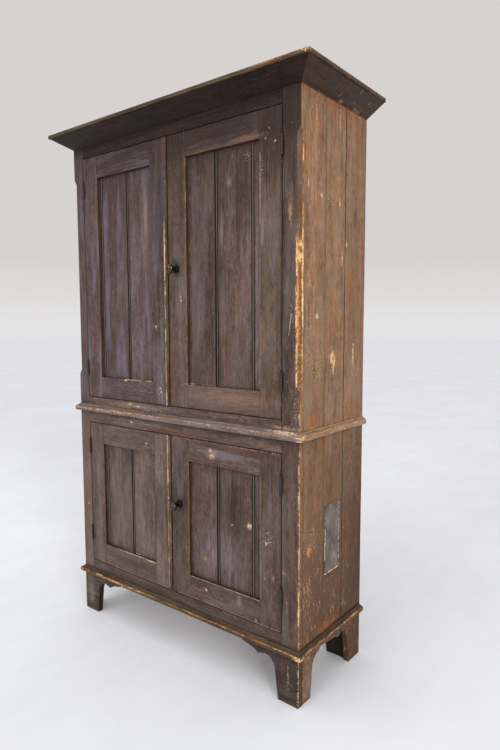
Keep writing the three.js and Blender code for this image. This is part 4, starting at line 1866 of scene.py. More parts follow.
        self.joiner.work(Board(
            "stile_left", "case", "front_paint", [left, bare, tan, edge], stile_rule, wear=0.5,
            shadow_and_grime_lines=gap_shadow_lines(),
        ))
        front = Paint.RIGHT.on(
            "right stile paint", Grain.UP, chips=stile_chips, scratches=(scratch,)
        )
        self.joiner.work(Board(
            "stile_right", "case", "front_paint", [front, bare, tan, edge],
            stile_rule, wear=0.6, across_step=0.012, along_step=0.03,
            worn_lines=corner_lines, shadow_and_grime_lines=gap_shadow_lines(),
            extra={0: (0.5785, 0.5745, 0.5705)},
        ))
        # The frieze takes the darkest paint as painted shade under the cornice.
        dark = Paint.CORNICE.on("frieze paint", Grain.ACROSS)
        brown = Paint.RIGHT.on("rail paint", Grain.ACROSS, chips=(
            *on_front(Flake.PALE, (0.495, 0.957, 0.02, 0.005)),
            *on_front(Flake.SCUFF, (-0.2, 0.966, 0.16, 0.01)),
            *on_front(
                Flake.CREAM, (-0.24, 0.898, 0.008, 0.004), (-0.2, 0.966, 0.012, 0.003),
                (-0.25, 0.972, 0.01, 0.003),
            ),
            *on_front(Flake.SPECKS, (-0.2, 0.96, 0.25, 0.014), (-0.2, 0.9, 0.2, 0.014)),
        ))
        for name, finish in (("frieze_rail", dark), ("waist_rail", brown), ("base_rail", brown)):
            self.joiner.work(Board(
                name, "case", "front_paint", [finish, bare], outside_only,
                grain=Grain.ACROSS, wear=0.5, extra={2: (0.9085, 0.9155, 0.9185)},
                # Painted shadow in the door gaps and just under the waist moulding.
                shadow_and_grime_lines=gap_shadow_lines() + (
                    Trace.level(0.9195, -HALF_WIDTH, HALF_WIDTH, 1.1, 0.003),
                ),
            ))

    def _base(self) -> None:
        """Front and rear bracket boards."""
        bare = AgedPine("aged pine under the floor", Grain.ACROSS).make()
        paint = Paint.BRACKET.on("bracket paint", Grain.ACROSS, chips=(
            *on_front(Flake.BLOOM, (-0.54, 0.1, 0.06, 0.12), (0.53, 0.12, 0.05, 0.05)),
            *on_front(Flake.OLIVE, (-0.55, 0.12, 0.03, 0.1)),
            *on_front(Flake.SCUFF, (-0.54, 0.08, 0.018, 0.045)),
            *on_front(Flake.SPECKS, (0.54, 0.06, 0.03, 0.045)),
            *on_front(Flake.RUST, (0.515, 0.14, 0.003, 0.03), (0.5, 0.06, 0.002, 0.02)),
            *on_front(Flake.WOOD, (0.54, 0.1, 0.002, 0.03)),
        ))
        shade = Paint.REAR_FOOT.on("rear foot paint", Grain.ACROSS)
        lines = (
            Trace.upright(HALF_WIDTH, 0.0, 0.19, 1.05),
            Trace.upright(-HALF_WIDTH, 0.0, 0.19, 0.8, 0.005),
            Trace.level(0.001, -0.58, -0.49, 0.9),
            Trace.level(0.001, 0.49, 0.58, 0.9),
        )
        self.joiner.work(Board(
            "front_bracket", "case", "front_paint", [paint, bare, shade], bracket_rule,
            grain=Grain.ACROSS, wear=0.6, across_step=0.012, along_step=0.02,
            arris=0.002, worn_lines=lines,
        ))
        # The rear feet are painted near-black, as painted shade, except behind.
        self.joiner.work(Board(
            "rear_bracket", "case", "bare_wood", [shade, bare], back_bare,
            grain=Grain.ACROSS, wear=0.4, across_step=0.02, along_step=0.03,
        ))

    def _inside(self) -> None:
        """Back boards, floor, deck and shelves."""
        back = AgedPine(
            "aged pine back", Grain.UP, tint(150, 120, 88), tint(112, 84, 58), tint(80, 56, 38),
            seams=self.back_joints,
        ).make()
        shelf = AgedPine("aged pine shelves", Grain.ACROSS).make()
        self.joiner.work(Board(
            "back_boards", "case", "bare_wood", [back], first_only, wear=0.3,
            joints=self.back_joints, joint_axis=0, along_step=0.07,
        ))
        for name in (
            "floor_board", "deck_board", "shelf_lower", "shelf_upper_low", "shelf_upper_high",
        ):
            self.joiner.work(Board(
                name, "case", "bare_wood", [shelf], first_only, grain=Grain.ACROSS,
                wear=0.3, along_step=0.08, across_step=0.06,
            ))

    def _top(self) -> None:
        """Top board and the three splayed boards of the cornice."""
        right, front_edge, top, underside = 0.6565, -BACK, 2.1, 2.088
        top_edge = Paint.BASE.on("top board edge paint", Grain.ACROSS, chips=(
            Chip((0.64, -0.25, 2.097), (0.014, 0.012, 0.006)),
            Chip((0.50, front_edge, 2.098), (0.08, 0.02, 0.003), Flake.WOOD),
        ))
        dusty = AgedPine(
            "dusty top", Grain.ACROSS, tint(150, 134, 112), tint(118, 98, 76), tint(86, 68, 50),
        ).make()
        self.joiner.work(Board(
            "top_board", "case", "worn_paint", [top_edge, dusty], top_rule, grain=Grain.ACROSS,
            wear=0.5, along_step=0.04, across_step=0.04,
            worn_lines=(
                Trace((0.15, front_edge, top), (0.656, front_edge, top), 0.8, 0.003),
                Trace((right, front_edge, top), (right, BACK, top), 1.15, 0.003),
                Trace((right, front_edge, underside), (right, front_edge, top), 1.2, 0.008),
            ),
        ))
        front_chips = tuple(
            Chip((x, -0.22, z), (0.004, 0.04, 0.0035), Flake.RUST) for x, z in (
                (0.121, 2.066), (-0.158, 2.068), (-0.30, 2.062), (-0.42, 2.06), (-0.04, 2.07),
            )
        )
        side_chips = (
            Chip((0.61, 0.187, 2.07), (0.04, 0.003, 0.003), Flake.WOOD),
            Chip((0.62, 0.02, 2.055), (0.04, 0.003, 0.004), Flake.WOOD),
            Chip((0.62, 0.10, 2.08), (0.04, 0.0025, 0.0025)),
            Chip((0.60, 0.05, 2.045), (0.03, 0.01, 0.004), Flake.WOOD),
            Chip((0.60, 0.16, 2.044), (0.03, 0.02, 0.004), Flake.WOOD),
            Chip((0.615, 0.1, 2.05), (0.03, 0.1, 0.012), Flake.SPECKS),
        )
        front = Paint.CORNICE.on("cornice front paint", Grain.ACROSS, chips=front_chips)
        side = Paint.CORNICE_SIDE.on("cornice side paint", Grain.DEEP, chips=side_chips)
        for name, finish, grain in (
            ("cornice_front", front, Grain.ACROSS), ("cornice_left", side, Grain.DEEP),
            ("cornice_right", side, Grain.DEEP),
        ):
            self.joiner.work(Board(
                name, "case", "front_paint", [finish], first_only, grain=grain, wear=0.5,
                along_step=0.05, across_step=0.02,
                worn_lines=(
                    Trace((0.64, -0.235, 2.08), (0.585, -0.18, 2.043), 0.55),
                    Trace.along_side(0.5855, 2.042, 0.62),
                    Trace((0.65, BACK, 2.084), (0.585, BACK, 2.042), 0.9),
                ),
            ))


@dataclass
class Mouldings:
    """The planted mouldings at the waist and over the base.

    Attributes:
        projection: How far they stand out. gap keeps them just off the boards.
        nose: The height of the worn nose, and crown of the arris over it, in shares.
        shares: The profile, in shares of the projection and of the height.
        spacing: The longest step between two stations of the profile.
    """

    joiner: Joiner
    projection: float = 0.017
    gap: float = 0.0003
    nose: float = 0.42
    crown: float = 0.6
    shares: tuple[tuple[float, float], ...] = (
        (0, 0), (0.5, 0), (0.78, 0), (0.88, 0.02), (0.94, 0.07), (0.98, 0.13), (1, 0.2),
        (1, 0.31), (1, 0.42), (0.97, 0.51), (0.93, 0.58), (0.86, 0.64), (0.76, 0.68), (0.6, 0.74),
        (0.48, 0.765), (0.38, 0.8), (0.28, 0.845), (0.2, 0.9), (0.15, 0.95), (0.12, 1), (0, 1),
        (0, 0),
    )
    spacing: float = 0.028

    def _stations(self) -> list[tuple[Place, Place]]:
        """Stations from the left rear corner, round the front, to the right rear corner."""
        left, right = -HALF_WIDTH, HALF_WIDTH
        corners = [(left, BACK), (left, FRONT), (right, FRONT), (right, BACK)]
        ways = [(-1.0, 0.0), (0.0, -1.0), (1.0, 0.0)]
        mitres = [(-1.0, 0.0), (-1.0, -1.0), (1.0, -1.0), (1.0, 0.0)]
        stations: list[tuple[Place, Place]] = []
        for i, way in enumerate(ways):
            (x0, y0), (x1, y1) = corners[i], corners[i + 1]
            stations.append(((x0, y0, 0.0), (*mitres[i], 0.0)))
            count = int(math.hypot(x1 - x0, y1 - y0) // self.spacing)
            for step in range(1, count):
                share = step / count
                foot = (x0 + (x1 - x0) * share, y0 + (y1 - y0) * share, 0.0)
                stations.append((foot, (*way, 0.0)))
        stations.append(((*corners[3], 0.0), (*mitres[3], 0.0)))
        return stations

    def build(self) -> None:
        """Makes both mouldings."""
        run = MouldingRun()
        waist_chips = (
            *on_front(
                Flake.SPECKS, (-0.25, 0.935, 0.3, 0.02), (0.3, 0.935, 0.4, 0.012),
                face=FRONT - self.projection,
            ),
            *on_front(Flake.CREAM, (0.53, 0.944, 0.05, 0.005), face=FRONT - 0.01),
        )
        self._make(
            run, "waist_moulding", 0.92, 0.03, 0.8,
            Paint.WAIST.on("waist moulding paint", Grain.ACROSS, chips=waist_chips),
            Paint.WAIST_SIDE.on("waist moulding side paint", Grain.DEEP),
        )
        self._make(
            run, "base_moulding", 0.177, 0.025, 0.88,
            Paint.BASE.on("base moulding paint", Grain.ACROSS),
            Paint.BASE.on("base moulding side paint", Grain.DEEP),
        )

    def _make(
        self, run: MouldingRun, name: str, bottom: float, height: float, wear: float,
        front: bpy.types.Material, side: bpy.types.Material,
    ) -> None:
        """Makes one moulding.

        Args:
            run: The tree that carries profiles.
            name: The CAD node.
            bottom: The height of its lower edge.
            height: How high it is.
            wear: How far its paint has gone along the crown.
            front: The finish along the front.
            side: The finish along the sides.
        """
        profile = [
            (self.gap + (self.projection - self.gap) * across, bottom + height * up)
            for across, up in self.shares
        ]
        solid = run.carry(self._stations(), profile, front)
        nose, crown = bottom + height * self.nose, bottom + height * self.crown
        far = HALF_WIDTH + self.projection
        near = FRONT - self.projection
        self.joiner.finish_mesh(solid, Board(
            name, "case", "worn_paint", [front, side], arms_rule, grain=Grain.ACROSS,
            wear=0.3, arris=0.0006,
            worn_lines=(
                Trace((-far, near, crown), (far, near, crown), wear + 0.35, 0.003),
                Trace((-far, near, nose), (-0.2, near, nose), wear + 0.1, 0.008),
                Trace((far, near, crown), (far, BACK, crown), wear + 0.25),
                Trace((-far, near, crown), (-far, BACK, crown), wear),
                Trace.upright(far, bottom, nose, 1.35, 0.01, y=near),
            ),
        ), f"run_{name}")


def either_side(places: Sequence[float]) -> tuple[float, ...]:
    """Gives cuts close by and a little farther off, to both sides of each place."""
    return tuple(place + shift for place in places for shift in (-0.004, 0.004, -0.012, 0.012))


@dataclass
class Door:
    """One framed and boarded door.

    Attributes:
        lines: Where its paint is worn.
        rail: The height of its rails.
        bead: From a panel joint to the seam beside it. quirk is the same by the main joint.
    """

    joiner: Joiner
    stage: Stage
    hand: Hand
    paint: Paint
    chips: tuple[Chip, ...] = ()
    scratches: tuple[Scratch, ...] = ()
    lines: tuple[Trace, ...] = ()
    rail: float = 0.088
    bead: float = 0.0045
    quirk: tuple[float, float] = (0.0066, 0.0025)

    @property
    def label(self) -> str:
        """The door's name in the part."""
        return f"{self.stage.value}_{self.hand.value}"

    def _coat(self, name: str, grain: Grain, **more: object) -> bpy.types.Material:
        """The door's paint on some of its boards."""
        return self.paint.on(
            f"{self.label} {name} paint", grain, chips=self.chips, scratches=self.scratches, **more
        )

    def build(self) -> None:
        """Makes the door's stiles, rails and boarded panel."""
        bottom, top = (0.986, 1.993) if self.stage is Stage.UPPER else (0.246, 0.870)
        opening = (bottom + self.rail, top - self.rail)
        bare = AgedPine(f"{self.label} bare back", Grain.UP).make()
        self._frame(bare, opening)
        self._panel(bare, opening)

    def _frame(self, bare: bpy.types.Material, opening: tuple[float, float]) -> None:
        """Makes the stiles and rails round an opening between two heights."""
        upright = self._coat("upright", Grain.UP)
        level = self._coat("level", Grain.ACROSS)
        inner = Paint.REVEAL.on(f"{self.label} opening paint", Grain.UP)
        bead = Paint.BEAD.on(f"{self.label} bead paint", Grain.UP)
        for part, grain, finish in (
            ("hinge_stile", Grain.UP, upright), ("meeting_stile", Grain.UP, upright),
            ("top_rail", Grain.ACROSS, level), ("bottom_rail", Grain.ACROSS, level),
        ):
            self.joiner.work(Board(
                f"{self.label}_{part}", f"door_{self.label}", "front_paint",
                [finish, bare, inner, bead], frame_rule, grain=grain, wear=0.5,
                worn_lines=self.lines, extra={2: either_side(opening)}, shadow_and_grime_lines=gap_shadow_lines(),
                shade_and_grime_behind=False,
            ))

    def _panel(self, bare: bpy.types.Material, opening: tuple[float, float]) -> None:
        """Makes the boarded panel behind an opening between two heights."""
        if self.hand is Hand.LEFT:
            sides, joints = (-0.4281, -0.108), (-0.4151, -0.2521)
            main = joints[1]
        else:
            sides, joints = (0.082, 0.4201), (0.2211, 0.3841)
            main = joints[0]
        boarded = self._coat(
            "panel", Grain.UP, ridges=joints,
            seams=tuple(x + shift for x in joints for shift in (-self.bead, self.bead))
            + tuple(main - shift for shift in self.quirk),
        )
        self.joiner.work(Board(
            f"{self.label}_panel", f"door_{self.label}", "front_paint", [boarded, bare],
            back_bare, wear=0.35, arris=0.0008, joints=joints, joint_axis=0,
            extra={0: either_side(sides), 2: either_side(opening)}, grime_and_shade=0.7,
            shade_and_grime_behind=False,
            # Painted shadow in the left corner of the panel's opening.
            shadow_and_grime_lines=(Trace.upright(sides[0], *opening, 1.05, 0.0026, y=FRONT + 0.011),),
        ))


@dataclass
class Knob:
    """A turned bronze knob with its rose, spindle and pawl.

    Attributes:
        neck: Up to where the darker metal, a painted shade on the rose and neck, reaches out from the
            door.
        profile: Radius and distance in front of the door, from the tip to the rose.
    """

    metal: bpy.types.Material
    dark: bpy.types.Material
    stage: Stage
    height: float
    x: float = 0.030
    neck: float = 0.026
    sides: int = 48
    smooth_angle: float = math.radians(40)
    profile: tuple[tuple[float, float], ...] = (
        (0.0, 0.0482), (0.0045, 0.0481), (0.0088, 0.0474), (0.0128, 0.0458), (0.0158, 0.0435),
        (0.0178, 0.0407), (0.0188, 0.0378), (0.0189, 0.0358), (0.0184, 0.0332), (0.0168, 0.0308),
        (0.0142, 0.0288), (0.0112, 0.0272), (0.0088, 0.0256), (0.0075, 0.0232), (0.0071, 0.02),
        (0.0072, 0.016), (0.0077, 0.012), (0.0088, 0.0088), (0.0104, 0.007), (0.0118, 0.0062),
        (0.0132, 0.0058), (0.0143, 0.005), (0.0149, 0.0038), (0.015, 0.002), (0.015, 0.0004),
        (0.0, 0.0004),
    )

    @staticmethod
    def _rear(node: str) -> bmesh.types.BMesh:
        """Keeps the CAD spindle and pawl, from just behind the door's face."""
        solid = merged_copy(node)
        cut = bmesh.ops.bisect_plane(
            solid, geom=solid.verts[:] + solid.edges[:] + solid.faces[:], dist=1e-6,
            plane_co=Vector((0, FRONT + 0.001, 0)), plane_no=Vector((0, 1, 0)), clear_inner=True,
        )
        rim = [g for g in cut["geom_cut"] if isinstance(g, bmesh.types.BMEdge)]
        bmesh.ops.edgeloop_fill(solid, edges=rim)
        return solid

    def _ring(self, solid: bmesh.types.BMesh, radius: float, out: float) -> list[bmesh.types.BMVert]:
        """Adds one ring of the profile, or its point on the axis."""
        turns = [2 * math.pi * i / self.sides for i in range(self.sides if radius else 1)]
        return [
            solid.verts.new((
                self.x + radius * math.cos(turn), FRONT - out, self.height + radius * math.sin(turn),
            ))
            for turn in turns
        ]

    def build(self) -> None:
        """Turns the front of the knob and keeps what lies behind the door's face."""
        node = f"{self.stage.value}_knob"
        solid = self._rear(node)
        rings = [self._ring(solid, radius, out) for radius, out in self.profile]
        for first, second in zip(rings, rings[1:]):
            for i in range(self.sides):
                corners = [
                    first[i % len(first)], second[i % len(second)],
                    second[(i + 1) % len(second)], first[(i + 1) % len(first)],
                ]
                solid.faces.new(list(dict.fromkeys(corners)))
        bmesh.ops.recalc_face_normals(solid, faces=solid.faces)
        name = f"turned_{node}"
        mesh = smooth_mesh(solid, name)
        mesh.set_sharp_from_angle(angle=self.smooth_angle)
        mesh.materials.append(self.metal)
        mesh.materials.append(self.dark)
        for face in mesh.polygons:
            # The rose and neck take the darker metal as painted shade.
            face.material_index = 1 if face.center.y > FRONT - self.neck else 0
        add_piece(name, mesh, f"latch_{self.stage.value}", node)


@dataclass
class Hinges:
    """Butt hinges: leaves with softened edges, and three screws in each leaf.

    Attributes:
        screw_inset: From a leaf's rear edge to its screws.
        middle_inset: How much farther forward the middle screw stands.
        barrel_end: How far the barrel reaches behind the front.
    """

    iron: bpy.types.Material
    screws: Fasteners
    softening: float = 0.0003
    sharp_angle: float = math.radians(40)
    smooth_angle: float = math.radians(35)
    screw_radius: float = 0.0032
    screw_height: float = 0.0004
    slot_width: float = 0.0009
    screw_spacing: float = 0.022
    screw_inset: float = 0.0085
    middle_inset: float = 0.004
    barrel_end: float = 0.012

    def _leaf(self, node: str, body: str) -> list[tuple[Place, Place]]:
        """Makes one leaf and gives the places of its screws."""
        solid = merged_copy(node, 1e-5)
        join_flats(solid)
        sharp = [
            e for e in solid.edges
            if len(e.link_faces) == 2 and e.calc_face_angle_signed(0.0) > self.sharp_angle
        ]
        bmesh.ops.bevel(
            solid, geom=sharp, offset=self.softening, segments=1, affect="EDGES", clamp_overlap=True
        )
        name = f"iron_{node}"
        mesh = smooth_mesh(solid, name)
        mesh.set_sharp_from_angle(angle=self.smooth_angle)
        mesh.materials.append(self.iron)
        add_piece(name, mesh, body, node)

        low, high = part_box(node)
        toward = (1 if low.x > 0 else -1) * (1 if "case" in node else -1)
        face_x = self._plate_face(node, toward)
        middle = (low.z + high.z) / 2
        depth = high.y - self.screw_inset
        return [
            (
                (face_x, depth - (0.0 if k else self.middle_inset), middle + k * self.screw_spacing),
                (-toward, 0.0, 0.0),
            )
            for k in (-1, 0, 1)
        ]

    def _plate_face(self, node: str, toward: int) -> float:
        """X of the plate's face that looks at the other leaf."""
        behind = FRONT + self.barrel_end
        deep = [v.co.x for v in frame["nodes"][node].data.vertices if v.co.y > behind]
        return min(deep) if toward > 0 else max(deep)

    def build(self) -> None:
        """Makes all leaves and drives their screws, body by body."""
        sizes = {
            "Head radius": self.screw_radius, "Head height": self.screw_height,
            "Slot width": self.slot_width, "Metal": self.iron,
        }
        for label in (f"{stage.value}_{hand.value}" for stage in Stage for hand in Hand):
            for leaf, body in (("case_leaf", "case"), ("door_leaf", f"door_{label}")):
                heads = []
                for end in ("top", "bottom"):
                    heads += self._leaf(f"{label}_{end}_hinge_{leaf}", body)
                self.screws.drive(f"screws_{label}_{leaf}", body, heads, sizes)


@dataclass
class Patch:
    """The thin metal patch tacked to the right side."""

    joiner: Joiner
    tacks: Fasteners
    tack_metal: bpy.types.Material
    inset: float = 0.006
    rows: int = 10
    columns: int = 5
    tack_radius: float = 0.0021
    tack_height: float = 0.0009

    def build(self) -> None:
        """Makes the patch and its tacks."""
        low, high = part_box("side_patch")
        self.joiner.work(Board(
            "side_patch", "case", "zinc", [PaintedZinc().make()], first_only, wear=0.5,
            arris=0.0004, along_step=0.016, across_step=0.014,
            worn_lines=(
                Trace.upright(high.x, 0.47, 0.58, 0.85, 0.0045, y=low.y),
                Trace.upright(high.x, 0.44, 0.66, 0.7, 0.0045, y=high.y),
                Trace((high.x, low.y, low.z), (high.x, high.y, low.z), 0.75),
            ),
        ))
        front, back = low.y + self.inset, high.y - self.inset
        bottom, top = low.z + self.inset, high.z - self.inset
        places = [
            (y, bottom + (high.z - low.z - 2 * self.inset) * i / self.rows)
            for i in range(self.rows + 1) for y in (front, back)
        ]
        places += [
            (front + (high.y - low.y - 2 * self.inset) * i / self.columns, z)
            for i in range(1, self.columns) for z in (bottom, top)
        ]
        self.tacks.drive(
            "patch_tacks", "case", [((high.x, y, z), (1.0, 0.0, 0.0)) for y, z in places],
            {
                "Head radius": self.tack_radius, "Head height": self.tack_height,
                "Metal": self.tack_metal,
            },
        )


def direction(azimuth: float, elevation: float) -> Vector:
    """Gives the direction of a place that stands round the cupboard.

    Args:
        azimuth: Its angle from the front towards +X, in degrees.
        elevation: Its angle above the floor, in degrees.

    Returns:
        A vector of length 1.
    """
    turn, rise = math.radians(azimuth), math.radians(elevation)
    return Vector((
        math.sin(turn) * math.cos(rise), -math.cos(turn) * math.cos(rise), math.sin(rise)
    ))


@dataclass(frozen=True)
class Daylight:
    """Soft light from one side, alike over the whole floor.

    Attributes:
        azimuth: Where it comes from, in degrees from the front towards +X.
        elevation: Its height in degrees.
        spread: How wide the source looks, in degrees, which softens its shadows.
        strength: Light on a surface that faces it.
    """

    name: str
    azimuth: float
    elevation: float
    spread: float
    strength: float
    colour: tuple[float, float, float]

    def hang(self) -> None:
        """Adds the light."""
        data = bpy.data.lights.new(self.name, "SUN")
        data.angle = math.radians(self.spread)
        data.energy = self.strength
        data.color = self.colour
        lamp = put(self.name, data)
        source = direction(self.azimuth, self.elevation)
        lamp.matrix_world = source.to_track_quat("Z", "Y").to_matrix().to_4x4()


@dataclass
class Studio:
    """The camera at the photograph's angle, the floor and the lights."""

    lens: float = 27.877
    azimuth: float = 38.140
    elevation: float = 5.297
    roll: float = -0.143
    place: Place = (1.602424, -1.739038, 1.310769)
    backdrop: Colour = tint(214, 210, 207)
    haze: Colour = tint(228, 227, 227)
    haze_top: float = 0.1
    floor_reach: float = 40.0
    daylights: tuple[Daylight, ...] = (
        Daylight("key", 58.0, 19.0, 24.0, 1.44, (1.0, 0.985, 0.96)),
        Daylight("front", -10.7, 18.0, 27.0, 0.6, (0.97, 0.98, 1.0)),
    )
    lamp_place: Place = (0.0, -1.8, 5.2)
    lamp_width: float = 5.0
    lamp_power: float = 76.0
    lamp_colour: tuple[float, float, float] = (0.98, 0.99, 1.0)

    def build(self) -> None:
        """Adds everything that isn't part of the cupboard."""
        self._camera()
        self._floor()
        self._world()
        for daylight in self.daylights:
            daylight.hang()
        self._overhead()
        bpy.context.scene.view_settings.view_transform = "Standard"

    def _camera(self) -> None:
        """Places the camera."""
        tilt = math.radians(self.roll)
        back = direction(self.azimuth, self.elevation)
        right = (-back).cross(Vector((0, 0, 1))).normalized()
        up = right.cross(-back)
        level = math.cos(tilt) * right + math.sin(tilt) * up
        upright = math.cos(tilt) * up - math.sin(tilt) * right
        data = bpy.data.cameras.new("camera")
        data.lens = self.lens
        data.sensor_width = 36.0
        data.sensor_fit = "AUTO"
        data.clip_start = 0.05
        camera = put("camera", data)
        turned = Matrix((level, upright, back)).transposed().to_4x4()
        camera.matrix_world = Matrix.Translation(self.place) @ turned
        bpy.context.scene.camera = camera

    def _floor(self) -> None:
        """Lays the floor."""
        mesh = bpy.data.meshes.new("floor")
        reach = self.floor_reach
        mesh.from_pydata(
            [(-reach, -reach, 0.0), (reach, -reach, 0.0), (reach, reach, 0.0), (-reach, reach, 0.0)],
            [], [(0, 1, 2, 3)],
        )
        mesh.materials.append(PaleFloor().make())
        put("floor", mesh)

    def _world(self) -> None:
        """Fills the room with soft light."""
        world = bpy.data.worlds.new("studio")
        world.use_nodes = True
        bench = Bench(world.node_tree)
        way = bench.node("ShaderNodeTexCoord").outputs["Generated"]
        colour = bench.ramp(bench.part(way, 2), [(0.0, self.haze), (self.haze_top, self.backdrop)])
        sky = bench.node("ShaderNodeBackground", sockets={"Color": colour, "Strength": 1.0})
        bench.node("ShaderNodeOutputWorld", sockets={"Surface": sky.outputs[0]})
        bpy.context.scene.world = world

    def _overhead(self) -> None:
        """Hangs one large soft lamp over the floor in front."""
        data = bpy.data.lights.new("overhead", "AREA")
        data.shape = "DISK"
        data.size = self.lamp_width
        data.energy = self.lamp_power
        data.color = self.lamp_colour
        put("overhead", data).location = self.lamp_place


@dataclass
class Doors:
    """The four doors, each with its chips, scratches and worn lines."""

    joiner: Joiner
    bead: float = -0.030

    def build(self) -> None:
        """Makes the doors."""
        for door in (
            self._upper_left(), self._upper_right(), self._lower_left(), self._lower_right(),
        ):
            door.build()

    def _upper_left(self) -> Door:
        """The upper left door, which carries the upper bead."""
        return Door(
            self.joiner, Stage.UPPER, Hand.LEFT, Paint.UPPER_LEFT,
            chips=(
                *on_front(
                    Flake.CREAM, (-0.22, 1.074, 0.05, 0.0025), (-0.27, 1.072, 0.008, 0.005),
                    (-0.14, 1.074, 0.02, 0.0025), (-0.068, 1.05, 0.003, 0.004),
                    (-0.061, 1.035, 0.003, 0.004), (-0.087, 1.288, 0.004, 0.006),
                ),
                *on_front(Flake.SPECKS, (-0.06, 1.03, 0.035, 0.04)),
                *on_panel(Flake.RUST, (-0.36, 1.6, 0.004, 0.05), (-0.35, 1.33, 0.004, 0.08)),
                # Painted sheen, paler high on the panel.
                *on_panel(Flake.BLOOM, (-0.15, 1.68, 0.022, 0.16)),
                *on_panel(Flake.SCUFF, (-0.15, 1.74, 0.012, 0.08)),
                *on_front(Flake.SHADE, (-0.06, 1.75, 0.05, 0.35), (-0.27, 1.96, 0.25, 0.05)),
            ),
            lines=(
                Trace.upright(self.bead, 1.4, 1.7, 1.7, y=BEAD_FACE),
                Trace.upright(self.bead, 0.99, 1.4, 1.4, y=BEAD_FACE),
                Trace.upright(self.bead, 1.7, 1.99, 0.65, y=BEAD_FACE),
                Trace.upright(-0.43, 1.07, 1.9, 0.5, 0.004),
            ),
        )

    def _upper_right(self) -> Door:
        """The upper right door."""
        return Door(
            self.joiner, Stage.UPPER, Hand.RIGHT, Paint.RIGHT,
            chips=(
                *on_panel(
                    Flake.SCUFF, (0.281, 1.789, 0.012, 0.018), (0.245, 1.62, 0.008, 0.06),
                    (0.403, 1.4, 0.009, 0.25),
                ),
                *on_front(Flake.SCUFF, (0.433, 1.6, 0.006, 0.04)),
                # Painted light on the panel's strip by the hinge stile, against the stile's cast
                # shadow.
                *on_panel(Flake.BLOOM, (0.403, 1.49, 0.018, 0.5)),
                # Painted light, paler along the bottom rail.
                *on_front(Flake.BLOOM, (0.25, 1.03, 0.25, 0.05)),
                *on_front(Flake.TAN, (0.3, 1.04, 0.15, 0.02), (0.36, 1.914, 0.07, 0.01)),
                *on_front(Flake.OLIVE, (0.19, 1.91, 0.1, 0.006), (0.0775, 1.5, 0.0045, 0.5)),
                *on_front(Flake.SHADE, (0.47, 1.9, 0.06, 0.14), (0.2, 1.96, 0.3, 0.03)),
                *on_panel(Flake.SHADE, (0.33, 1.75, 0.06, 0.14)),
                *on_front(
                    Flake.CREAM, (0.05, 1.402, 0.0028, 0.004), (0.052, 1.387, 0.0034, 0.004),
                    (0.483, 1.884, 0.003, 0.004), (0.1, 1.077, 0.02, 0.003),
                ),
                *on_front(
                    Flake.WOOD, (0.445, 1.9, 0.003, 0.003), (0.46, 1.93, 0.003, 0.003),
                    (0.19, 1.077, 0.05, 0.004),
                ),
                *on_front(Flake.SPECKS, (0.431, 1.8, 0.006, 0.1)),
                *on_panel(Flake.SPECKS, (0.36, 1.86, 0.03, 0.03)),
            ),
            scratches=(
                Scratch((0.4225, FRONT, 1.66), (0.4225, FRONT, 1.86), 0.0011),
                Scratch((0.4215, FRONT, 1.1), (0.4215, FRONT, 1.66), 0.0006),
            ),
            lines=(
                Trace.level(1.905, 0.08, 0.42, 0.62),
                Trace.upright(0.082, 1.08, 1.9, 0.78, 0.003),
                Trace.upright(0.43, 1.2, 1.9, 0.5, 0.004),
            ),
        )

    def _lower_left(self) -> Door:
        """The lower left door, which carries the lower bead."""
        return Door(
            self.joiner, Stage.LOWER, Hand.LEFT, Paint.LOWER_LEFT,
            chips=(
                *on_front(Flake.BLOOM, (-0.3, 0.55, 0.1, 0.2)),
                *on_front(Flake.SHADE, (-0.12, 0.56, 0.08, 0.16), (-0.26, 0.29, 0.14, 0.02)),
                *on_front(
                    Flake.SPECKS, (-0.075, 0.72, 0.03, 0.09), (-0.1, 0.72, 0.05, 0.05),
                    (-0.16, 0.815, 0.012, 0.012),
                ),
                *on_front(
                    Flake.CREAM, (-0.155, 0.818, 0.004, 0.003), (-0.25, 0.335, 0.05, 0.003),
                    (-0.14, 0.33, 0.02, 0.003),
                ),
            ),
            lines=(
                Trace.upright(self.bead, 0.6, 0.8, 1.6, y=BEAD_FACE),
                Trace.upright(self.bead, 0.25, 0.87, 1.15, y=BEAD_FACE),
                Trace.upright(-0.43, 0.335, 0.78, 0.62, 0.004),
            ),
            scratches=(
                Scratch((-0.37, FRONT, 0.2475), (-0.03, FRONT, 0.2475), 0.0012),
                Scratch((-0.34, FRONT, 0.3325), (-0.11, FRONT, 0.3325), 0.0018),
            ),
        )

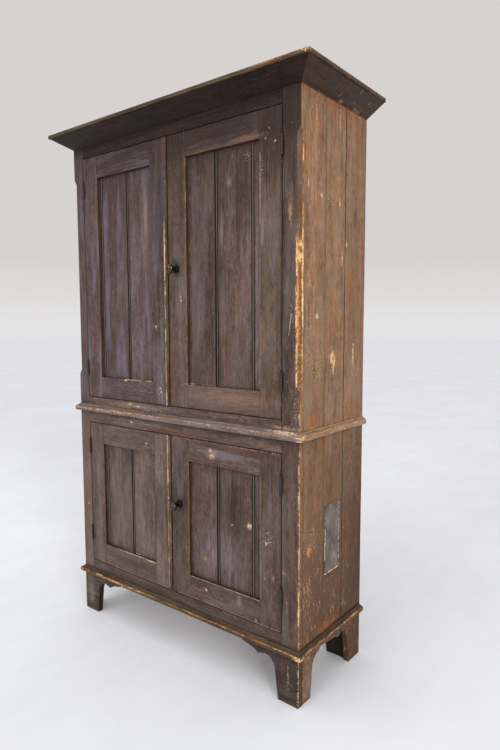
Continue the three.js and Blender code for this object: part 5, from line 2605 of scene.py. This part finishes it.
    def _lower_right(self) -> Door:
        """The lower right door."""
        return Door(
            self.joiner, Stage.LOWER, Hand.RIGHT, Paint.RIGHT,
            chips=(
                *on_front(
                    Flake.CREAM, (0.201, 0.819, 0.011, 0.01), (0.192, 0.836, 0.007, 0.007),
                    (0.447, 0.548, 0.0035, 0.005), (0.165, 0.3, 0.005, 0.004),
                ),
                *on_panel(Flake.CREAM, (0.366, 0.588, 0.009, 0.009), (0.285, 0.575, 0.002, 0.003)),
                *on_front(
                    Flake.SPECKS, (0.45, 0.56, 0.03, 0.03), (0.441, 0.418, 0.01, 0.012),
                    (0.07, 0.43, 0.014, 0.06), (0.2, 0.83, 0.035, 0.025),
                ),
                *on_panel(Flake.WOOD, (0.15, 0.415, 0.01, 0.007)),
                *on_front(Flake.RUST, (0.08, 0.42, 0.004, 0.04)),
                *on_front(Flake.WOOD, (0.478, 0.43, 0.003, 0.008), (0.403, 0.255, 0.005, 0.006)),
                *on_front(
                    Flake.SCUFF, (0.327, 0.303, 0.01, 0.02), (0.25, 0.83, 0.13, 0.016),
                    (0.24, 0.46, 0.1, 0.1),
                ),
                *on_front(Flake.OLIVE, (0.0775, 0.56, 0.0045, 0.24)),
                *on_panel(Flake.SHADE, (0.3, 0.6, 0.045, 0.16)),
            ),
            scratches=(
                Scratch((0.462, FRONT, 0.592), (0.448, FRONT, 0.582), 0.0012),
                Scratch((0.474, FRONT, 0.575), (0.455, FRONT, 0.562), 0.001),
                Scratch((0.468, FRONT, 0.556), (0.452, FRONT, 0.548), 0.0013),
                Scratch((0.02, FRONT, 0.2475), (0.505, FRONT, 0.2475), 0.0014),
                Scratch((0.09, FRONT, 0.3325), (0.42, FRONT, 0.3325), 0.0011),
                Scratch((0.4215, FRONT, 0.34), (0.4215, FRONT, 0.78), 0.0006),
                Scratch((0.30, FRONT + 0.01, 0.51), (0.19, FRONT + 0.01, 0.60), 0.0007),
            ),
            lines=(
                Trace.upright(0.082, 0.34, 0.78, 0.62, 0.004),
                Trace.level(0.782, 0.08, 0.42, 0.5, 0.004),
                Trace.level(0.868, -0.01, 0.5, 0.78),
            ),
        )


def main() -> None:
    """Builds every piece of the cupboard and the studio round it."""
    logging.basicConfig(level=logging.INFO, format="%(name)s: %(message)s")
    joiner = Joiner(Surroundings(frame["nodes"]))
    bronze = OldMetal(
        "dark bronze", tint(15, 11, 8), tint(88, 66, 44), tint(34, 24, 18), rust_share=0.3,
        roughness=0.26, metallic=0.9, lacquer=0.6,
    ).make()
    # Darker bronze as painted shade on the knobs' roses and necks.
    shaded_bronze = OldMetal(
        "bronze in painted shade", tint(14, 10, 8), tint(40, 30, 22), tint(30, 21, 16), rust_share=0.3,
        roughness=0.5,
    ).make()
    iron = OldMetal(
        "painted over iron", tint(26, 19, 17), tint(60, 47, 42), tint(74, 45, 30), rust_share=0.4,
        metallic=0.3, roughness=0.5,
    ).make()
    Case(joiner).build()
    Mouldings(joiner).build()
    Doors(joiner).build()
    Knob(bronze, shaded_bronze, Stage.UPPER, 1.504).build()
    Knob(bronze, shaded_bronze, Stage.LOWER, 0.606).build()
    Hinges(iron, Fasteners("slotted screw heads", slotted=True)).build()
    Patch(joiner, Fasteners("nail heads", slotted=False), iron).build()
    Studio().build()
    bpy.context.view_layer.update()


if __name__ == "__main__":
    main()
